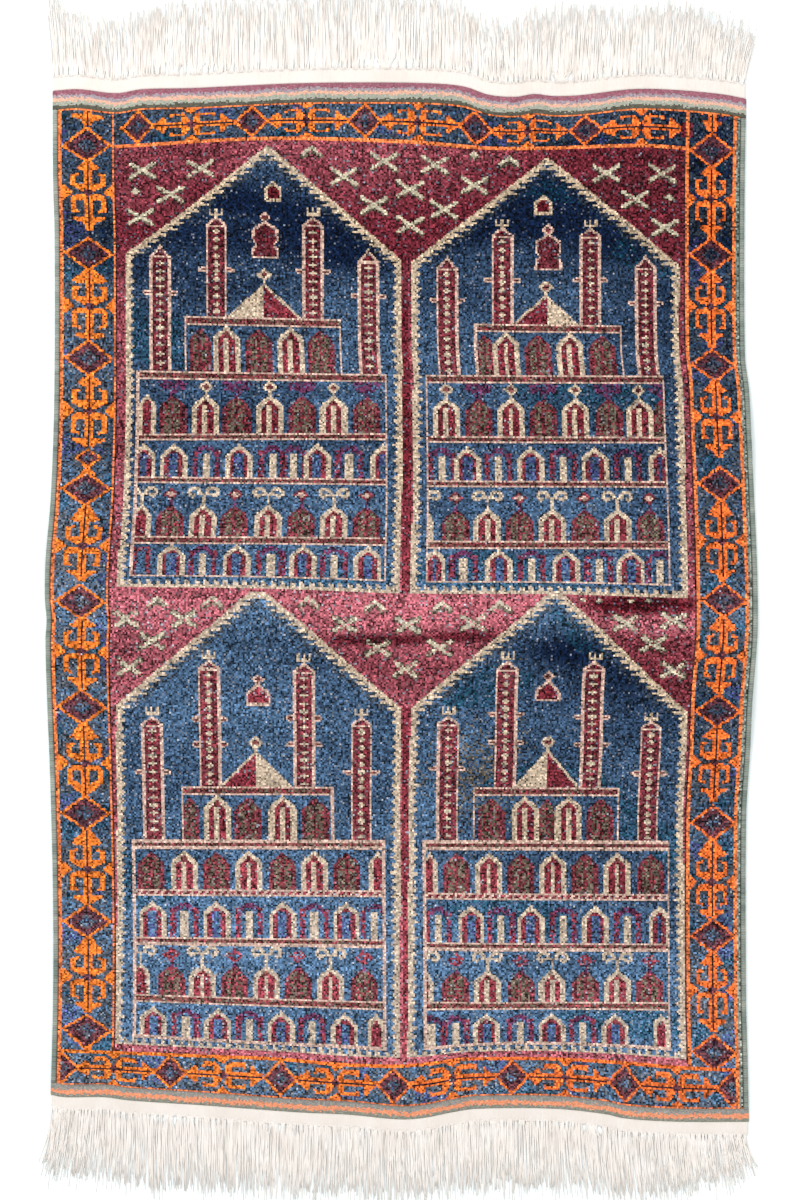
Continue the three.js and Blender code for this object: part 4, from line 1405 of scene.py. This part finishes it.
# depth of the grain, strength and depth of the bump (metres), and how the yarn takes the light
finishes = {
    "pile": {"grain": 0.6, "fibre": 0.65, "abrash": 0.5, "bump": 0.75, "deep": 0.0012, "rough": 0.92,
             "shine": 0.06, "sheen": 0.04},
    "back": {"grain": 0.24, "fibre": 0.65, "abrash": 0.5, "bump": 0.75, "deep": 0.0006, "rough": 0.92,
             "shine": 0.06, "sheen": 0.04},
    "stripes": {"grain": 0.16, "fibre": 0.7, "abrash": 0.2, "bump": 0.6, "deep": 0.0006, "rough": 0.9,
                "shine": 0.2},
    "overcast": {"grain": 0.14, "fibre": 0.8, "abrash": 0.1, "bump": 0.6, "deep": 0.0005, "rough": 0.9,
                 "shine": 0.2},
    "warp": {"grain": 0.035, "fibre": 0.16, "abrash": 0.05, "bump": 0.6, "deep": 0.0005, "rough": 0.85,
             "shine": 0.25},
}
grainGroup = woolGrain()


# Puts the wool grain over a colour, and its fibre and any ribs into the bump
def finishYarn(tree, shader, base, finish, ribHeight=None, ribShare=1.0):
    inputs = {"Colour": base, "Shade": attribute(tree, "shade"), "Grain": finish["grain"],
              "Fibre": finish["fibre"], "Abrash": finish["abrash"]}
    grain = addNode(tree, "ShaderNodeGroup", inputs, node_tree=grainGroup)
    height = grain.outputs["Height"]
    if ribHeight is not None:
        height = mathNode(tree, "MULTIPLY_ADD", ribHeight, ribShare, height)
    inputs = {"Height": height, "Strength": finish["bump"], "Distance": finish["deep"]}
    bump = addNode(tree, "ShaderNodeBump", inputs)
    tree.links.new(grain.outputs["Colour"], shader.inputs["Base Color"])
    tree.links.new(bump.outputs[0], shader.inputs["Normal"])
    shader.inputs["Roughness"].default_value = finish["rough"]
    shader.inputs["Specular IOR Level"].default_value = finish["shine"]
    if "sheen" in finish:
        shader.inputs["Sheen Weight"].default_value = finish["sheen"]
        shader.inputs["Sheen Roughness"].default_value = 0.45


# Knotted pile: the yarn's colour between its deep and its light colour, by a tone of dye change with painted
# sheen and shade
def pileMaterial(name, finish):
    material, tree, shader = plainMaterial(name)
    number = attribute(tree, "yarn")
    deep, light = (yarnRamp(tree, number, [pair[k] for pair in yarns.values()]) for k in (0, 1))
    # tone of dye change with painted sheen and painted shade
    tone = addNode(tree, "ShaderNodeClamp", {"Value": attribute(tree, "dye_and_light")}).outputs[0]
    dyedAndLit = addNode(tree, "ShaderNodeMix", {"Factor": tone, "A": deep, "B": light}, data_type="RGBA")
    finishYarn(tree, shader, dyedAndLit.outputs["Result"], finish)
    return material


# Flat-woven stripes: the stripe's colour with weft ribs as bump
def stripeMaterial():
    material, tree, shader = plainMaterial("striped_weft")
    base = yarnRamp(tree, attribute(tree, "yarn"), list(stripeYarns.values()))
    place = addNode(tree, "ShaderNodeTexCoord").outputs["Object"]
    finishYarn(tree, shader, base, finishes["stripes"], ribs(tree, place, 140.0, 1.5))
    return material


# Overcast yarn: grey-green turns, with painted shade darkening the grooves between them
def overcastMaterial():
    material, tree, shader = plainMaterial("goat_hair_overcast")
    place = addNode(tree, "ShaderNodeTexCoord").outputs["Object"]
    turns = broadPatches(tree, place, 38.0, 0.35, 0.65, "7c8880", "9ea298")
    paintedGrooveShare = mathNode(tree, "MULTIPLY", attribute(tree, "paintedGrooveShade"), 0.45)
    # painted shade in the grooves: mixed towards a dark grey-green
    inputs = {"Factor": paintedGrooveShare, "A": turns, "B": colour("565c55")}
    dark = addNode(tree, "ShaderNodeMix", inputs, data_type="RGBA")
    finishYarn(tree, shader, dark.outputs["Result"], finishes["overcast"])
    return material


# White warp: ivory, with a plain weave as bump on the strips
def warpMaterial(name, woven, dark, pale):
    material, tree, shader = plainMaterial(name)
    place = addNode(tree, "ShaderNodeTexCoord").outputs["Object"]
    ivory = broadPatches(tree, place, 30.0, 0.3, 0.7, dark, pale)
    weave = ribs(tree, place, 190.0, 0.8) if woven else None
    finishYarn(tree, shader, ivory, finishes["warp"], weave, 1.4)
    return material


dressed = (
    (strips, pileMaterial("knotted_pile", finishes["pile"])),
    ([knottedBack], pileMaterial("knot_backs", finishes["back"])),
    ([bandTop, bandBottom], stripeMaterial()),
    ([sideLeft, sideRight], overcastMaterial()),
    ([stripTop, stripBottom], warpMaterial("plain_woven_warp", True, "e9dfd6", "f0e8e0")),
    ([strandsTop, strandsBottom], warpMaterial("loose_warp", False, "eee6de", "f6f1ec")),
)
for pieces, material in dressed:
    for piece in pieces:
        piece.data.materials.append(material)
print("rug: materials")

studio = {
    "floorDrop": 0.0003,
    "floorHalf": 6.0,
    "frameHeight": 1.512,      # metres of floor from the top of the picture to the bottom
    "lens": 85.0,
    "sensor": 36.0,
}
reach, drop = studio["floorHalf"], studio["floorDrop"]
floorMesh = bpy.data.meshes.new("studio_floor")
floorMesh.from_pydata([(-reach, -reach, -drop), (reach, -reach, -drop), (reach, reach, -drop),
                       (-reach, reach, -drop)], [], [(0, 1, 2, 3)])
floor = bpy.data.objects.new("studio_floor", floorMesh)
bpy.context.scene.collection.objects.link(floor)
floorMaterial, _, floorShader = plainMaterial("studio_floor")
floorShader.inputs["Base Color"].default_value = colour("f5fbfb")
floorShader.inputs["Roughness"].default_value = 0.8
floorShader.inputs["Specular IOR Level"].default_value = 0.1
floorMesh.materials.append(floorMaterial)

world = bpy.data.worlds.new("soft_studio")
bpy.context.scene.world = world
world.use_nodes = True
sky = world.node_tree.nodes["Background"].inputs
sky["Color"].default_value = (0.975, 0.99, 1.0, 1)
sky["Strength"].default_value = 0.92


def areaLight(name, place, target, size, power):
    data = bpy.data.lights.new(name, "AREA")
    data.shape = "DISK"
    data.size = size
    data.energy = power
    light = bpy.data.objects.new(name, data)
    bpy.context.scene.collection.objects.link(light)
    light.location = place
    direction = np.subtract(target, place)
    light.rotation_euler = Vector(direction).to_track_quat("-Z", "Y").to_euler()
    return light


areaLight("key_light", (-1.6, 1.8, 2.6), (0, 0, 0), 1.6, 54)
areaLight("fill_light", (2.2, -1.0, 3.0), (0, 0, 0), 2.5, 22)

camera = bpy.data.objects.new("camera", bpy.data.cameras.new("camera"))
bpy.context.scene.collection.objects.link(camera)
camera.data.sensor_width = studio["sensor"]
camera.data.lens = studio["lens"]
cameraHeight = studio["frameHeight"] * studio["lens"] / studio["sensor"]
camera.location = (shiftX / 1000, shiftY / 1000, cameraHeight)
camera.rotation_euler = (0, 0, 0)      # straight down
bpy.context.scene.camera = camera
bpy.context.scene.view_settings.view_transform = "Standard"

wholeRug = [(piece, "rug", "wool_pile") for piece in strips + [knottedBack, bandTop, bandBottom]]
sides = [(sideLeft, "selvedge_left", "goat_hair_overcasting"),
         (sideRight, "selvedge_right", "goat_hair_overcasting")]
ends = [(stripTop, "fringe_top", "warp_fringe"), (strandsTop, "fringe_top", "warp_fringe"),
        (stripBottom, "fringe_bottom", "warp_fringe"), (strandsBottom, "fringe_bottom", "warp_fringe")]
for piece, node, slot in wholeRug + sides + ends:
    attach(piece, "root")
    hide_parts(node)
